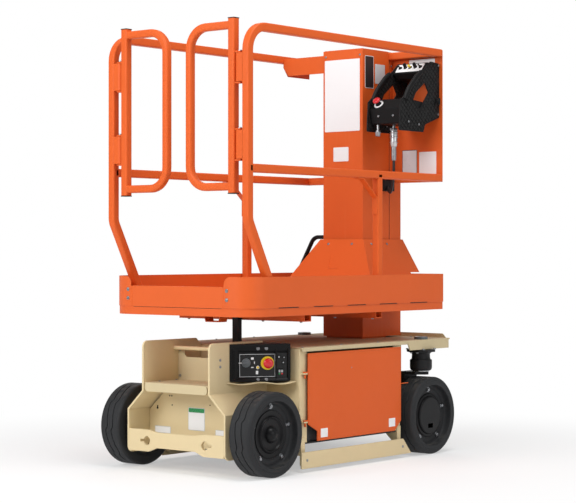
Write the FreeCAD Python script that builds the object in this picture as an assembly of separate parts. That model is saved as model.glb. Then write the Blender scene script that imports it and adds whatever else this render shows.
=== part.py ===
import FreeCAD, Part
import math
import os
from FreeCAD import Vector

# Vertical mast lift: a self-propelled machine whose platform rides on a telescopic mast.
# Millimetres. +X forward (the mast end), +Y left, +Z up, origin on the floor under the centre
# of the machine's overall outline. The platform is stored lowered and the gates and doors shut.

# ---------------------------------------------------------------- overall
wheelbase = 1015.0
overall_width = 760.0        # over the tyres
tyre_diameter = 317.5
tyre_width = 100.0
nose_overhang = 186.25       # front axle to the deck's nose
seat = 0.3                   # gap between pieces that seat on each other
run = 5.0                    # least gap between pieces that move past each other
pin_fit = 0.05               # radial clearance of a pin in its bore
arc_share = 0.45             # share of the shorter run that a bend of a cable or conduit takes
cable_flats = 8              # flats that stand for the round of a cable or conduit

overall_length = tyre_diameter / 2 + wheelbase + nose_overhang
rear_axle_x = (tyre_diameter - overall_length) / 2
front_axle_x = rear_axle_x + wheelbase
nose_x = overall_length / 2
half_width = overall_width / 2
axle_z = tyre_diameter / 2
wheel_y = half_width - tyre_width / 2
tyre_inner_y = half_width - tyre_width

# ---------------------------------------------------------------- wheels
tyre_shoulder = 7.0          # bevelled edge of the tread
rim_width = 34.0             # tread surface in to the wall of the dished wheel face
dish_depth = 30.0
axle_radius = 20.0
hub_radius = 90.0
hub_height = 14.0
hub_dome_radius = 34.0

# ---------------------------------------------------------------- deck and chassis
deck_top = 470.0
deck_plate = 5.0
deck_inset = 35.0            # deck edge in from the tyre's outer face
deck_corner = 26.0
deck_flange = 15.0           # down-turned edge over the doors
fender_flange = 40.0         # deeper edge over the front wheels
fender_slope = 18.0
fender_rear_gap = 41.0       # front bay wall to the deeper edge
lip_height = 17.0            # upstand along the nose
lip_end = 30.0
sheet = 6.0
pan_bottom = 104.0
bay_rear_gap = 189.5         # rear axle to the side bays
bay_front_gap = 176.5        # side bays to the front axle
bay_inset = 10.0             # frame side in from the deck edge
bay_post = 45.0              # corner posts that the doors hang on
nose_frame_gap = 33.0
nose_hole_radius = 15.0      # front tie-down holes
nose_hole_y = 62.0
nose_hole_z = 165.0

under_deck = deck_top - deck_plate
deck_half_width = half_width - deck_inset
bay_half_width = deck_half_width - bay_inset
bay_rear_x = rear_axle_x + bay_rear_gap
bay_front_x = front_axle_x - bay_front_gap
deck_rear_x = bay_rear_x + sheet
fender_rear_x = bay_front_x + fender_rear_gap
nose_frame_x = nose_x - nose_frame_gap

cheek_overhang = 137.5       # rear axle to the cheeks' rear edge
cheek_top = 494.0
cheek_bottom = 65.0
cheek_thickness = 8.0
cheek_wheel_gap = 30.0       # cheek's outer face to the rear tyre
cheek_step_in = 77.0         # how far the cheek's upper part stands in
cheek_bend_top = 305.0
cheek_bend_bottom = 232.0
cheek_corner = 24.0
cheek_slope = 24.0
cheek_slope_gap = 27.0

cheek_rear_x = rear_axle_x - cheek_overhang
cheek_lower_y = tyre_inner_y - cheek_wheel_gap     # outer face below the bend
cheek_upper_y = cheek_lower_y - cheek_step_in      # outer face above the bend
cheek_top_front_x = bay_rear_x - cheek_slope_gap

rear_panel_inset = 115.0
rear_panel_bottom = 86.0
step_top = 336.0
step_depth = 195.0
step_flange = 34.0
step_corner = 14.0
riser_top_gap = 8.0
riser_window_bottom = 425.0
riser_window_edge = 33.0
riser_window_corner = 14.0
rod_radius = 8.0
rod_z = 461.0
rod_gap = 22.0

rear_panel_x = cheek_rear_x + rear_panel_inset
step_front_x = cheek_rear_x + step_depth
rod_x = step_front_x - rod_gap

bar_thickness = 12.0
bar_top = 156.0
bar_bottom = 73.0
bar_waist = 8.0              # how far the middle stretch is drawn in, top and bottom
bar_waist_half = 100.0
bar_lobe = 40.0
bar_corner = 10.0
keyhole_inset = 93.7         # keyhole's centre in from the cheek
keyhole_radius = 17.0
keyhole_slot = 10.0

axle_flange_half = 46.0
axle_flange = 10.0

# ---------------------------------------------------------------- steering
kingpin_trail = 8.0
kingpin_inset = 20.0         # kingpin in from the middle of the tyre
kingpin_radius = 18.0
kingpin_hole_gap = 2.0       # clearance of the deck's holes over the kingpins
steer_housing_radius = 46.0
steer_housing_bottom = 337.0
steer_housing_top_gap = 42.0 # deck top to the housing's shoulder, clear of the deck's deep edge
steer_neck_half = 29.0
steer_flange_half = 54.0
steer_flange = 10.0
knuckle_plate = 12.0
knuckle_gap = 21.0           # knuckle to the tyre's inner face
knuckle_width = 26.0
knuckle_half_length = 43.0
kingpin_cap_radius = 28.5
kingpin_cap_height = 11.0

kingpin_x = front_axle_x + kingpin_trail
kingpin_y = wheel_y - kingpin_inset
knuckle_y = tyre_inner_y - knuckle_gap - knuckle_width / 2
steer_housing_top = deck_top - steer_housing_top_gap

# ---------------------------------------------------------------- platform and rails
floor_z = 594.0              # underside of the platform
floor_plate = 6.0
toe_height = 147.0
toe_wall = 3.0
fold_height = 31.0           # joint line between the pan and the toe boards
fold_step = 2.0
tray_inset = 16.0            # platform side in from the tyre's outer face
tray_rear_overhang = 132.5
tray_front_overhang = 92.5
tray_rear_corner = 110.0
entry_height = 109.0
entry_half_width = 237.0
entry_corner = 30.0
beam_width = 44.0
beam_height = 27.0
beam_sheet = 4.0
beam_end_gap = 42.0
rear_beam_gap = 388.0
front_beam_gap = 183.0
bracket_gap = 70.0           # rear axle to the rest bracket
bracket_length = 46.0
bracket_half = 46.0
bracket_slant = 12.0
bracket_height = 31.0
post_gap = 27.0
post_half = 13.0
post_pad = 4.0
post_pad_inset = 2.0

floor_top = floor_z + floor_plate
toe_top = floor_z + toe_height
fold_z = floor_z + fold_height
entry_top = floor_z + entry_height
tray_half_width = half_width - tray_inset
tray_rear_x = rear_axle_x - tray_rear_overhang
tray_front_x = front_axle_x + tray_front_overhang

tube = 32.0
rail_height = 1067.0         # floor to the top rail's centre
mid_rail_height = 546.0
rail_kink_height = 357.0     # floor to the bend where the rear posts lean forward
rail_lean = 183.0            # forward run of the leaning part
rail_bend = 90.0
rail_kink_bend = 60.0
gusset_reach = 126.0         # strap's end from the side post, along the mid rail
gusset_flat = 91.0           # its bend from the side post
gusset_drop = 75.0           # where it meets the post, below the mid rail
gusset_length = 142.0
gusset_sheet = 4.0
gusset_width = 25.0
rail_rear_gap = 13.0
side_post_gap = 220.0        # side post to the mast

rail_y = tray_half_width - toe_wall - fold_step - seat - tube / 2
rail_top = floor_z + rail_height
rail_mid = floor_z + mid_rail_height
rail_kink = floor_z + rail_kink_height
rail_post_x = tray_rear_x + rail_rear_gap
rail_front_x = tray_front_x - tube / 2

# ---------------------------------------------------------------- mast
mast_axle_gap = 119.5        # mast's rear face to the front axle
mast_depth = 187.0
mast_half_width = 104.0
mast_wall = 5.0
mast_above_rail = 19.0
mast_deck_gap = 6.0
mast_cover_depth = 88.0
mast_cover_sheet = 3.0
mast_cover_corner = 8.0
stage_wall = 5.0
stage_gap = 5.0
stage_floor_gap = 8.0
stage_top_gap = 12.0
pad_height = 60.0
pad_width = 40.0
pad_drop = 10.0

mast_rear_x = front_axle_x - mast_axle_gap
mast_front_x = mast_rear_x + mast_depth
mast_top = rail_top + mast_above_rail
mast_bottom = deck_top + mast_deck_gap
stage_bottom = pan_bottom + sheet + stage_floor_gap
pad_thickness = stage_gap - seat
side_post_x = mast_rear_x - side_post_gap
beam_places = (tray_rear_x + rear_beam_gap, mast_rear_x - front_beam_gap)
post_x = bay_rear_x + post_gap

skirt_height = 285.0         # above the floor
skirt_gap = 9.0              # skirt's top rim stands off the mast
skirt_rear_run = 151.0       # how far the rear sheet leans out
skirt_side_run = 180.0       # how far the side sheets lean out
skirt_sheet = 3.0

# ---------------------------------------------------------------- gates
gate_gap = 15.7              # hinge line to the near face of the gate's post
gate_post_over = 23.0        # gate's post above its loop's upper tube
gate_post_under = 24.0       # and below its lower tube
gate_meeting_gap = 60.0      # middle of the machine to the loop's tube
gate_loop_rise = 6.0         # loop's upper tube above the top rail
gate_loop_drop = 66.0        # loop's lower tube below the mid rail
gate_bend = 80.0
gate_tube = 30.0
gate_cap = 4.0
hinge_pin_radius = 6.0
hinge_half_lug = 11.0
hinge_face_gap = 0.5
sleeve_height = 106.0
lower_sleeve_rise = 33.0     # lower hinge sleeve above the mid rail
upper_sleeve_drop = 205.0    # foot of the upper hinge sleeve below the top rail
lug_thickness = 6.0

hinge_y = rail_y - tube - run
gate_post_y = hinge_y - gate_gap - tube / 2
gate_loop_top = rail_top + gate_loop_rise
gate_loop_bottom = rail_mid - gate_loop_drop
gate_top = gate_loop_top + gate_post_over
gate_bottom = gate_loop_bottom - gate_post_under
sleeve_places = (rail_mid + lower_sleeve_rise, rail_top - upper_sleeve_drop)

# ---------------------------------------------------------------- side doors
door_stand_off = 15.0        # door's outer face out from the frame's side
door_sheet = 3.0
door_rear_gap = 34.0
door_front_gap = 13.0
door_bottom = 112.0
door_top_gap = 22.0
door_notch_top = 180.0
door_notch_drop = 30.0
door_notch_rear = 56.0
door_notch_front = 43.0
door_notch_front_top = 150.0
door_pin_gap = 12.0
door_pin_radius = 4.0
door_pin_depth = 20.0
door_pin_inset = 5.0
door_lug = 5.0
door_lug_half = 8.0
door_hinge_places = (190.0, 374.0)
latch_z = 298.0
latch_reach = 52.0
latch_sheet = 3.0

door_y = bay_half_width + door_stand_off
door_rear_x = bay_rear_x + door_rear_gap
door_front_x = bay_front_x - door_front_gap
door_top = deck_top - door_top_gap
door_pin_x = door_rear_x - door_pin_gap
door_pin_y = door_y - door_pin_inset

# ---------------------------------------------------------------- guard bars
guard_stand_off = 12.0       # bar's outer face out from the door's
guard_sheet = 6.0
guard_top = 77.0
guard_bottom = 15.0
guard_rear_gap = 19.0
guard_slope = 54.0
guard_corner = 4.0
guard_lug = 24.0
guard_lug_top = 128.0
guard_lug_rise = 10.0
guard_lug_gap = 2.0
guard_bracket_depth = 42.0
guard_bracket_width = 60.0
guard_bracket_toe = 14.0

guard_y = door_y + guard_stand_off
guard_rear_x = bay_rear_x - guard_rear_gap
guard_front_x = door_front_x
guard_lug_places = (bay_rear_x + guard_lug_gap, bay_front_x - guard_lug - 2 * guard_lug_gap)


# ================================================================ helpers
def box(x0, x1, y0, y1, z0, z1):
    """Return the axis-aligned block between two corners."""
    return Part.makeBox(x1 - x0, y1 - y0, z1 - z0, Vector(x0, y0, z0))


def cylinder(radius, start, direction, length):
    """Return a round bar from a start point along a direction."""
    return Part.makeCylinder(radius, length, Vector(*start), Vector(*direction))


def corner_arc(before, corner, after, radius):
    """Return the two tangent points and the middle point of a rounded corner."""
    back = (before - corner).normalize()
    ahead = (after - corner).normalize()
    half = back.getAngle(ahead) / 2
    reach = radius / math.tan(half)
    bisector = (back + ahead).normalize()
    middle = corner + bisector * (radius / math.sin(half) - radius)
    return corner + back * reach, middle, corner + ahead * reach


def outline(points, radii):
    """Return a closed wire through points, with each corner rounded by its radius."""
    count = len(points)
    edges = []
    ends = []
    for i in range(count):
        if radii[i] > 0:
            ends.append(corner_arc(points[i - 1], points[i], points[(i + 1) % count], radii[i]))
        else:
            ends.append((points[i], None, points[i]))
    for i in range(count):
        first, middle, last = ends[i]
        if middle is not None:
            edges.append(Part.Arc(first, middle, last).toShape())
        following = ends[(i + 1) % count][0]
        if (following - last).Length > 1e-6:
            edges.append(Part.LineSegment(last, following).toShape())
    return Part.Wire(edges)


def plate(points, depth, normal, start, radii=None):
    """Extrude an outline drawn in a main plane.

    points are (a, b) pairs in the plane square to normal, in X, Y, Z order; start and depth
    are the place and length along normal.
    """
    place = {"x": lambda a, b: Vector(start, a, b),
             "y": lambda a, b: Vector(a, start, b),
             "z": lambda a, b: Vector(a, b, start)}[normal]
    along = {"x": Vector(depth, 0, 0), "y": Vector(0, depth, 0), "z": Vector(0, 0, depth)}[normal]
    corners = [place(a, b) for a, b in points]
    wire = outline(corners, radii if radii else [0.0] * len(corners))
    return Part.Face(wire).extrude(along)


def turned(profile, centre, axis):
    """Revolve a closed profile of (radius, place along axis) pairs about an axis."""
    along = Vector(*axis)
    across = Vector(1, 0, 0)
    points = [centre + across * r + along * s for r, s in profile]
    face = Part.Face(Part.makePolygon(points + [points[0]]))
    return face.revolve(centre, along, 360)


def square_section(centre, across, upward, side):
    """Return the face of a square tube."""
    half = side / 2
    points = [centre + across * a * half + upward * b * half
              for a, b in ((-1, -1), (1, -1), (1, 1), (-1, 1))]
    return Part.Face(Part.makePolygon(points + [points[0]]))


def bent_tube(points, radii, side, up):
    """Return a solid square tube along a route of straight runs and round bends."""
    runs = [points[i + 1] - points[i] for i in range(len(points) - 1)]
    directions = [Vector(r).normalize() for r in runs]
    across = directions[0].cross(up).normalize()
    upward = across.cross(directions[0]).normalize()
    face = square_section(points[0], across, upward, side)
    reaches = [0.0]
    for i in range(1, len(points) - 1):
        turn = directions[i - 1].getAngle(directions[i])
        reaches.append(radii[i - 1] * math.tan(turn / 2))
    reaches.append(0.0)
    solids = []
    for i, direction in enumerate(directions):
        step = direction * (runs[i].Length - reaches[i] - reaches[i + 1])
        solids.append(face.extrude(step))
        face.translate(step)
        if i + 1 < len(directions):
            axis = direction.cross(directions[i + 1]).normalize()
            inward = axis.cross(direction).normalize()
            tangent = points[i + 1] - direction * reaches[i + 1]
            centre = tangent + inward * radii[i]
            turn = math.degrees(direction.getAngle(directions[i + 1]))
            solids.append(face.revolve(centre, axis, turn))
            face.rotate(centre, axis, turn)
    return joined(*solids) if len(solids) > 1 else solids[0]


def round_run(points, radius):
    """Return a many-sided bar along straight runs joined by tangent arcs; print the arcs' radii."""
    edges = []
    start = points[0]
    radii = []
    for before, corner, after in zip(points, points[1:], points[2:]):
        shorter = min((corner - before).Length, (after - corner).Length)
        half_turn = (corner - before).getAngle(after - corner) / 2
        bend = arc_share * shorter / math.tan(half_turn)
        first, middle, last = corner_arc(before, corner, after, bend)
        edges.append(Part.LineSegment(start, first).toShape())
        edges.append(Part.Arc(first, middle, last).toShape())
        start = last
        radii.append(round(bend, 1))
    edges.append(Part.LineSegment(start, points[-1]).toShape())
    print("bend radii", radii, "for a radius of", radius)
    along = (points[1] - points[0]).normalize()
    side = Vector(along.y, along.z, along.x).cross(along).normalize()
    other = along.cross(side)
    ring = [points[0] + side * radius * math.cos(math.radians(360 * (i + 0.5) / cable_flats))
            + other * radius * math.sin(math.radians(360 * (i + 0.5) / cable_flats))
            for i in range(cable_flats)]
    return Part.Wire(edges).makePipeShell([Part.makePolygon(ring + [ring[0]])], True, False)


def mirrored(shape):
    """Return the shape's twin on the machine's other side."""
    return shape.mirror(Vector(0, 0, 0), Vector(0, 1, 0))


def joined(first, *others):
    """Fuse touching solids into one and clean the joints between their faces."""
    return first.multiFuse(list(others)).removeSplitter()


def tapered(lower, upper):
    """Return the solid between two outlines of equally many corners with flat sides."""
    faces = [Part.Face(Part.makePolygon(ring + [ring[0]])) for ring in (lower, upper)]
    for i in range(len(lower)):
        j = (i + 1) % len(lower)
        corners = [lower[i], lower[j], upper[j], upper[i], lower[i]]
        faces.append(Part.Face(Part.makePolygon(corners)))
    return Part.Solid(Part.Shell(faces))


def pair(shape):
    """Return a left piece and its right twin as one node of separate solids."""
    return Part.makeCompound([shape, mirrored(shape)])


# ================================================================ wheels
def tyre(axle_x):
    """Return a left solid tyre moulded onto its dished wheel disc, bored for the axle."""
    radius = tyre_diameter / 2
    outer = tyre_width / 2
    mouth = radius - rim_width
    bore = axle_radius + pin_fit
    profile = [(bore, outer - dish_depth), (mouth, outer - dish_depth), (mouth, outer),
               (radius - tyre_shoulder, outer), (radius, outer - tyre_shoulder),
               (radius, -outer), (bore, -outer)]
    return turned(profile, Vector(axle_x, wheel_y, axle_z), (0, 1, 0))


def hub(axle_x, front):
    """Return a left hub on the wheel disc: a flange, with a raised boss on a rear wheel."""
    foot = tyre_width / 2 - dish_depth + seat
    face = foot + hub_height
    profile = [(0, foot), (hub_radius, foot), (hub_radius, face)]
    if not front:
        profile += [(hub_dome_radius, face), (hub_dome_radius, tyre_width / 2 - 2)]
    profile.append((0, profile[-1][1]))
    return turned(profile, Vector(axle_x, wheel_y, axle_z), (0, 1, 0))


def stub_axle(axle_x, root_y):
    """Return a left stub axle from its root out through the wheel disc."""
    tip = wheel_y + tyre_width / 2 - dish_depth - seat
    return cylinder(axle_radius, (axle_x, root_y, axle_z), (0, 1, 0), tip - root_y)


# ================================================================ chassis
def well_size():
    """Return the inside of the mast well as rear X, front X and half width."""
    inset = mast_wall + stage_gap - run
    return mast_rear_x + inset, mast_front_x - inset, mast_half_width - inset


def chassis_pan():
    """Return the flat pan under the side bays."""
    return box(bay_rear_x, bay_front_x, -bay_half_width, bay_half_width, pan_bottom, pan_bottom + sheet)


def mast_well():
    """Return the box that the mast stands in, open at the deck."""
    rear, front, half = well_size()
    well = box(rear - sheet, front + sheet, -half - sheet, half + sheet, pan_bottom, under_deck)
    return well.cut(box(rear, front, -half, half, pan_bottom + sheet, under_deck + 1))


def bay_walls():
    """Return the rear and front walls of the side bays, each with a corner post at both ends."""
    low = pan_bottom + sheet
    y = bay_half_width
    walls = []
    for wall_x, post_rear in ((bay_rear_x, bay_rear_x), (bay_front_x - sheet, bay_front_x - bay_post)):
        wall = box(wall_x, wall_x + sheet, -y, y, low, under_deck)
        post = box(post_rear, post_rear + bay_post, y - sheet, y, low, under_deck)
        walls.append(joined(wall, post, mirrored(post)))
    return Part.makeCompound(walls)


def bay_dividers():
    """Return the upright plates along the bays and on to the mast well, left and right."""
    rear, _, half = well_size()
    low = pan_bottom + sheet
    inner = box(bay_rear_x + sheet, bay_front_x - sheet, half, half + sheet, low, under_deck)
    web = box(bay_front_x, rear - sheet, half, half + sheet, low, under_deck)
    return Part.makeCompound([inner, web, mirrored(inner), mirrored(web)])


def nose_frame():
    """Return the channel in front of the mast well with the front tie-down holes."""
    _, front, half = well_size()
    low = pan_bottom + 3 * sheet
    outer = box(front + sheet, nose_frame_x, -half - sheet, half + sheet, low, under_deck)
    body = outer.cut(box(front, nose_frame_x - sheet, -half, half, low - 1, under_deck + 1))
    for side in (1, -1):
        place = (nose_frame_x - sheet - 1, side * nose_hole_y, nose_hole_z)
        body = body.cut(cylinder(nose_hole_radius, place, (1, 0, 0), sheet + 2))
    return body


def deck():
    """Return the deck: top plate, down-turned edges, nose lip and the mast's opening."""
    rear, front, half = well_size()
    y = deck_half_width
    top = plate([(deck_rear_x, -y), (nose_x, -y), (nose_x, y), (deck_rear_x, y)],
                deck_plate, "z", under_deck, [0, deck_corner, deck_corner, 0])
    edges = []
    for side in (1, -1):
        low, high = sorted((side * y, side * (y - deck_plate)))
        edges.append(box(deck_rear_x, fender_rear_x, low, high, deck_top - deck_flange, under_deck))
        edges.append(plate([(fender_rear_x, under_deck),
                            (fender_rear_x + fender_slope, deck_top - fender_flange),
                            (nose_x - deck_corner, deck_top - fender_flange),
                            (nose_x - deck_corner, under_deck)], high - low, "y", low))
    lip = plate([(-y + lip_end, under_deck), (-y + lip_end, deck_top),
                 (-y + lip_end + lip_height, deck_top + lip_height),
                 (y - lip_end - lip_height, deck_top + lip_height), (y - lip_end, deck_top),
                 (y - lip_end, under_deck)], deck_plate, "x", nose_x - deck_plate)
    body = joined(top, lip, *edges)
    body = body.cut(box(rear, front, -half, half, under_deck - 1, deck_top + 1))
    for side in (1, -1):
        body = body.cut(cylinder(kingpin_radius + kingpin_hole_gap,
                                 (kingpin_x, side * kingpin_y, under_deck - 1), (0, 0, 1), deck_plate + 2))
    return body


def rear_cheeks():
    """Return the two bent side plates of the rear step, with rounded ends."""
    t = cheek_thickness
    front = bay_rear_x
    section = plate([(cheek_upper_y, cheek_top), (cheek_upper_y, cheek_bend_top),
                     (cheek_lower_y, cheek_bend_bottom), (cheek_lower_y, cheek_bottom),
                     (cheek_lower_y - t, cheek_bottom), (cheek_lower_y - t, cheek_bend_bottom - t / 3),
                     (cheek_upper_y - t, cheek_bend_top - t / 3), (cheek_upper_y - t, cheek_top)],
                    front - cheek_rear_x, "x", cheek_rear_x)
    side = plate([(cheek_rear_x, cheek_bottom), (cheek_rear_x, cheek_top),
                  (cheek_top_front_x, cheek_top), (cheek_top_front_x + cheek_slope, deck_top),
                  (front, deck_top), (front, cheek_bottom)],
                 cheek_lower_y + 1, "y", 0, [cheek_corner, cheek_corner, cheek_corner / 2, 0, 0, t])
    return pair(section.common(side))


def inner_half(z):
    """Return the half width between the cheeks at a height."""
    upper = cheek_upper_y - cheek_thickness
    lower = cheek_lower_y - cheek_thickness
    top = cheek_bend_top - cheek_thickness / 3
    bottom = cheek_bend_bottom - cheek_thickness / 3
    if z >= top:
        return upper
    if z <= bottom:
        return lower
    return lower + (upper - lower) * (z - bottom) / (top - bottom)


def rear_panel():
    """Return the upright panel between the cheeks, cut to their bent shape."""
    top = step_top - sheet
    upper_bend = cheek_bend_top - cheek_thickness / 3
    lower_bend = cheek_bend_bottom - cheek_thickness / 3
    ease = cheek_thickness
    half = [(inner_half(rear_panel_bottom) - seat, rear_panel_bottom),
            (inner_half(rear_panel_bottom) - seat, lower_bend - ease),
            (inner_half(upper_bend) - seat, upper_bend - ease), (inner_half(top) - seat, top)]
    points = half + [(-y, z) for y, z in reversed(half)]
    return plate(points, sheet, "x", rear_panel_x)


def step():
    """Return the step: a tread with a rounded, down-turned edge, and the riser behind it."""
    half = inner_half(step_top) - seat
    tread = box(cheek_rear_x + sheet, step_front_x, -half, half, step_top - sheet, step_top)
    edge_half = half - sheet
    edge = plate([(-edge_half, step_top - step_flange), (-edge_half, step_top), (edge_half, step_top),
                  (edge_half, step_top - step_flange)], sheet, "x", cheek_rear_x, [step_corner] * 4)
    riser = box(step_front_x, step_front_x + sheet, -half, half, step_top - sheet,
                deck_top - riser_top_gap)
    window_half = half - riser_window_edge
    window = plate([(-window_half, riser_window_bottom), (window_half, riser_window_bottom),
                    (window_half, deck_top), (-window_half, deck_top)], sheet + 2, "x",
                   step_front_x - 1, [riser_window_corner, riser_window_corner, 0, 0])
    return joined(tread, edge, riser.cut(window))


def step_rod():
    """Return the round rod across the top of the step."""
    half = inner_half(rod_z) - seat
    return cylinder(rod_radius, (rod_x, -half, rod_z), (0, 1, 0), 2 * half)


def tie_down_bar():
    """Return the rear tie-down bar: waisted plate with a keyhole at each end."""
    half = inner_half(bar_top) - seat
    lobe = bar_waist_half + bar_lobe
    upper = [(-half, bar_top), (-lobe, bar_top), (-bar_waist_half, bar_top - bar_waist),
             (bar_waist_half, bar_top - bar_waist), (lobe, bar_top), (half, bar_top)]
    lower = [(half, bar_bottom), (lobe, bar_bottom), (bar_waist_half, bar_bottom + 2 * bar_waist),
             (-bar_waist_half, bar_bottom + 2 * bar_waist), (-lobe, bar_bottom), (-half, bar_bottom)]
    radii = [0] + [bar_corner] * 4 + [0]
    bar = plate(upper + lower, bar_thickness, "x", cheek_rear_x, radii + radii)
    centre_z = (bar_top + bar_bottom) / 2
    keyhole_y = half - keyhole_inset
    for side in (1, -1):
        hole = cylinder(keyhole_radius, (cheek_rear_x - 1, side * keyhole_y, centre_z), (1, 0, 0),
                        bar_thickness + 2)
        low, high = sorted((side * keyhole_y, side * (keyhole_y + 2 * keyhole_radius)))
        slot = box(cheek_rear_x - 1, cheek_rear_x + bar_thickness + 1, low, high,
                   centre_z - keyhole_slot / 2, centre_z + keyhole_slot / 2)
        bar = bar.cut(hole.fuse(slot))
    return bar


# ================================================================ ground controls and batteries
box_rear_gap = 8.0
box_front_gap = 12.0
box_bottom = 352.0
box_top = 487.0
box_rear_depth = 82.0        # out from the cheek at the rear end
box_front_depth = 132.0      # and at the front end, so that the face looks rearwards
box_block = 42.0             # deeper block at the front end
box_block_depth = 8.0
box_rim_low = 24.0           # rims around the recessed face
box_rim_end = 30.0
box_recess = 8.0
shelf_z = 345.0
shelf_sheet = 4.0
shelf_edge = 6.0
shelf_dip = 7.0
stop_along = 205.0           # places along the recessed face, from its rear end
key_along = 92.0
knob_z = 422.0
stop_head_radius = 19.0
stop_head = 25.0
key_radius = 14.0
key_length = 14.0

box_rear_x = cheek_rear_x + box_rear_gap
box_front_x = bay_rear_x - box_front_gap
box_face_start = Vector(box_rear_x, -cheek_upper_y - box_rear_depth, 0)
box_face_end = Vector(box_front_x, -cheek_upper_y - box_front_depth, 0)
box_along = Vector(box_face_end - box_face_start).normalize()
box_outward = Vector(box_along.y, -box_along.x, 0)


def face_point(along, out, z):
    """Return a place given along the box's slanted face and out from it."""
    return box_face_start + box_along * along + box_outward * out + Vector(0, 0, z)


def ground_control_box():
    """Return the ground control box on the right cheek, with its slanted, recessed face."""
    length = (box_face_end - box_face_start).Length
    start = length - box_block
    corners = [Vector(box_rear_x, -cheek_upper_y - seat, 0), box_face_start, face_point(start, 0, 0),
               face_point(start, box_block_depth, 0), face_point(length, box_block_depth, 0),
               Vector(box_front_x, -cheek_upper_y - seat, 0)]
    body = plate([(c.x, c.y) for c in corners], box_top - box_bottom, "z", box_bottom)
    rim = [face_point(box_rim_end, -box_recess, 0), face_point(start - box_rim_end / 2, -box_recess, 0),
           face_point(start - box_rim_end / 2, 1, 0), face_point(box_rim_end, 1, 0)]
    recess = plate([(c.x, c.y) for c in rim], box_top - box_bottom - 2 * box_rim_low, "z",
                   box_bottom + box_rim_low)
    return body.cut(recess)


def ground_control_knobs():
    """Return the emergency stop and the key switch of the ground controls."""
    out = -box_recess + seat
    direction = (box_outward.x, box_outward.y, 0)
    stop = cylinder(stop_head_radius, face_point(stop_along, out, knob_z), direction, stop_head)
    key = cylinder(key_radius, face_point(key_along, out, knob_z), direction, key_length)
    return Part.makeCompound([stop, key])


def control_shelf():
    """Return the folded shelf under the ground control box, cut to the box's plan."""
    middle = (box_rear_x + box_front_x) / 2
    rear = box_rear_x - shelf_edge
    front = box_front_x + shelf_edge
    quarter = (front - rear) / 4
    top = [(rear, shelf_z), (rear + quarter, shelf_z - shelf_dip), (middle, shelf_z),
           (front - quarter, shelf_z - shelf_dip), (front, shelf_z)]
    under = [(x, z - shelf_sheet) for x, z in reversed(top)]
    deepest = -cheek_upper_y - box_front_depth - box_block_depth - shelf_edge
    sheet_run = plate(top + under, -cheek_upper_y - seat - deepest, "y", deepest)
    outer = [face_point(0, shelf_edge, 0), face_point((box_face_end - box_face_start).Length, shelf_edge, 0)]
    plan = plate([(rear, -cheek_upper_y - seat), (rear, outer[0].y), (front, outer[1].y),
                  (front, -cheek_upper_y - seat)], 4 * shelf_dip, "z", shelf_z - 2 * shelf_dip)
    return sheet_run.common(plan)


battery_rear_gap = 52.0
battery_length = 340.0
battery_height = 240.0
battery_inner_gap = 25.0
battery_outer_gap = 20.0


def batteries():
    """Return the two battery packs in the side bays as plain blocks."""
    inner = well_size()[2] + sheet + battery_inner_gap
    rear = bay_rear_x + battery_rear_gap
    floor = pan_bottom + sheet
    return pair(box(rear, rear + battery_length, inner, bay_half_width - battery_outer_gap, floor,
                    floor + battery_height))


def platform_post():
    """Return the post on the deck that the lowered platform rests on."""
    post = box(post_x - post_half, post_x + post_half, -post_half, post_half, deck_top,
               floor_z - post_pad)
    inset = post_half - post_pad_inset
    pad = box(post_x - inset, post_x + inset, -inset, inset, floor_z - post_pad, floor_z - seat)
    return joined(post, pad)


def kingpin_caps():
    """Return the round caps on the deck over the kingpins."""
    place = (kingpin_x, kingpin_y, deck_top)
    return pair(cylinder(kingpin_cap_radius, place, (0, 0, 1), kingpin_cap_height))


def steer_housings():
    """Return the round kingpin housings under the deck, each hung on a bolted flange."""
    centre = (kingpin_x, kingpin_y)
    body = cylinder(steer_housing_radius, (*centre, steer_housing_bottom), (0, 0, 1),
                    steer_housing_top - steer_housing_bottom)
    reach = steer_flange_half
    cut = reach / 2
    corners = [(-reach, -cut), (-cut, -reach), (cut, -reach), (reach, -cut),
               (reach, cut), (cut, reach), (-cut, reach), (-reach, cut)]
    flange = plate([(kingpin_x + a, kingpin_y + b) for a, b in corners], steer_flange, "z",
                   steer_housing_top - steer_flange)
    neck = box(kingpin_x - steer_neck_half, kingpin_x + steer_neck_half, kingpin_y - steer_neck_half,
               kingpin_y + steer_neck_half, steer_housing_top, under_deck)
    bore = cylinder(kingpin_radius + pin_fit, (*centre, steer_housing_bottom - 1), (0, 0, 1),
                    under_deck - steer_housing_bottom + 2)
    return pair(joined(body, flange, neck).cut(bore))


def knuckle():
    """Return the left knuckle: kingpin, plate over the tyre, upright and stub axle."""
    plate_top = steer_housing_bottom - seat
    plate_bottom = plate_top - knuckle_plate
    inner_y = knuckle_y - knuckle_width / 2
    reach = knuckle_half_length
    hub_rise = axle_radius * 3
    pin = cylinder(kingpin_radius, (kingpin_x, kingpin_y, plate_top), (0, 0, 1), deck_top - plate_top)
    arm = plate([(kingpin_x - reach, kingpin_y), (kingpin_x - reach, inner_y),
                 (kingpin_x + reach, inner_y), (kingpin_x + reach, kingpin_y),
                 (kingpin_x, kingpin_y + reach)],
                knuckle_plate, "z", plate_bottom, [0, 0, 0, 0, reach / 2])
    upright = plate([(front_axle_x - reach, axle_z - axle_radius),
                     (front_axle_x - reach / 2, axle_z - hub_rise),
                     (front_axle_x + reach / 2, axle_z - hub_rise),
                     (front_axle_x + reach, axle_z - axle_radius),
                     (kingpin_x + reach, plate_top), (kingpin_x - reach, plate_top)],
                    knuckle_width, "y", inner_y)
    return joined(pin, arm, upright, stub_axle(front_axle_x, knuckle_y))


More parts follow.
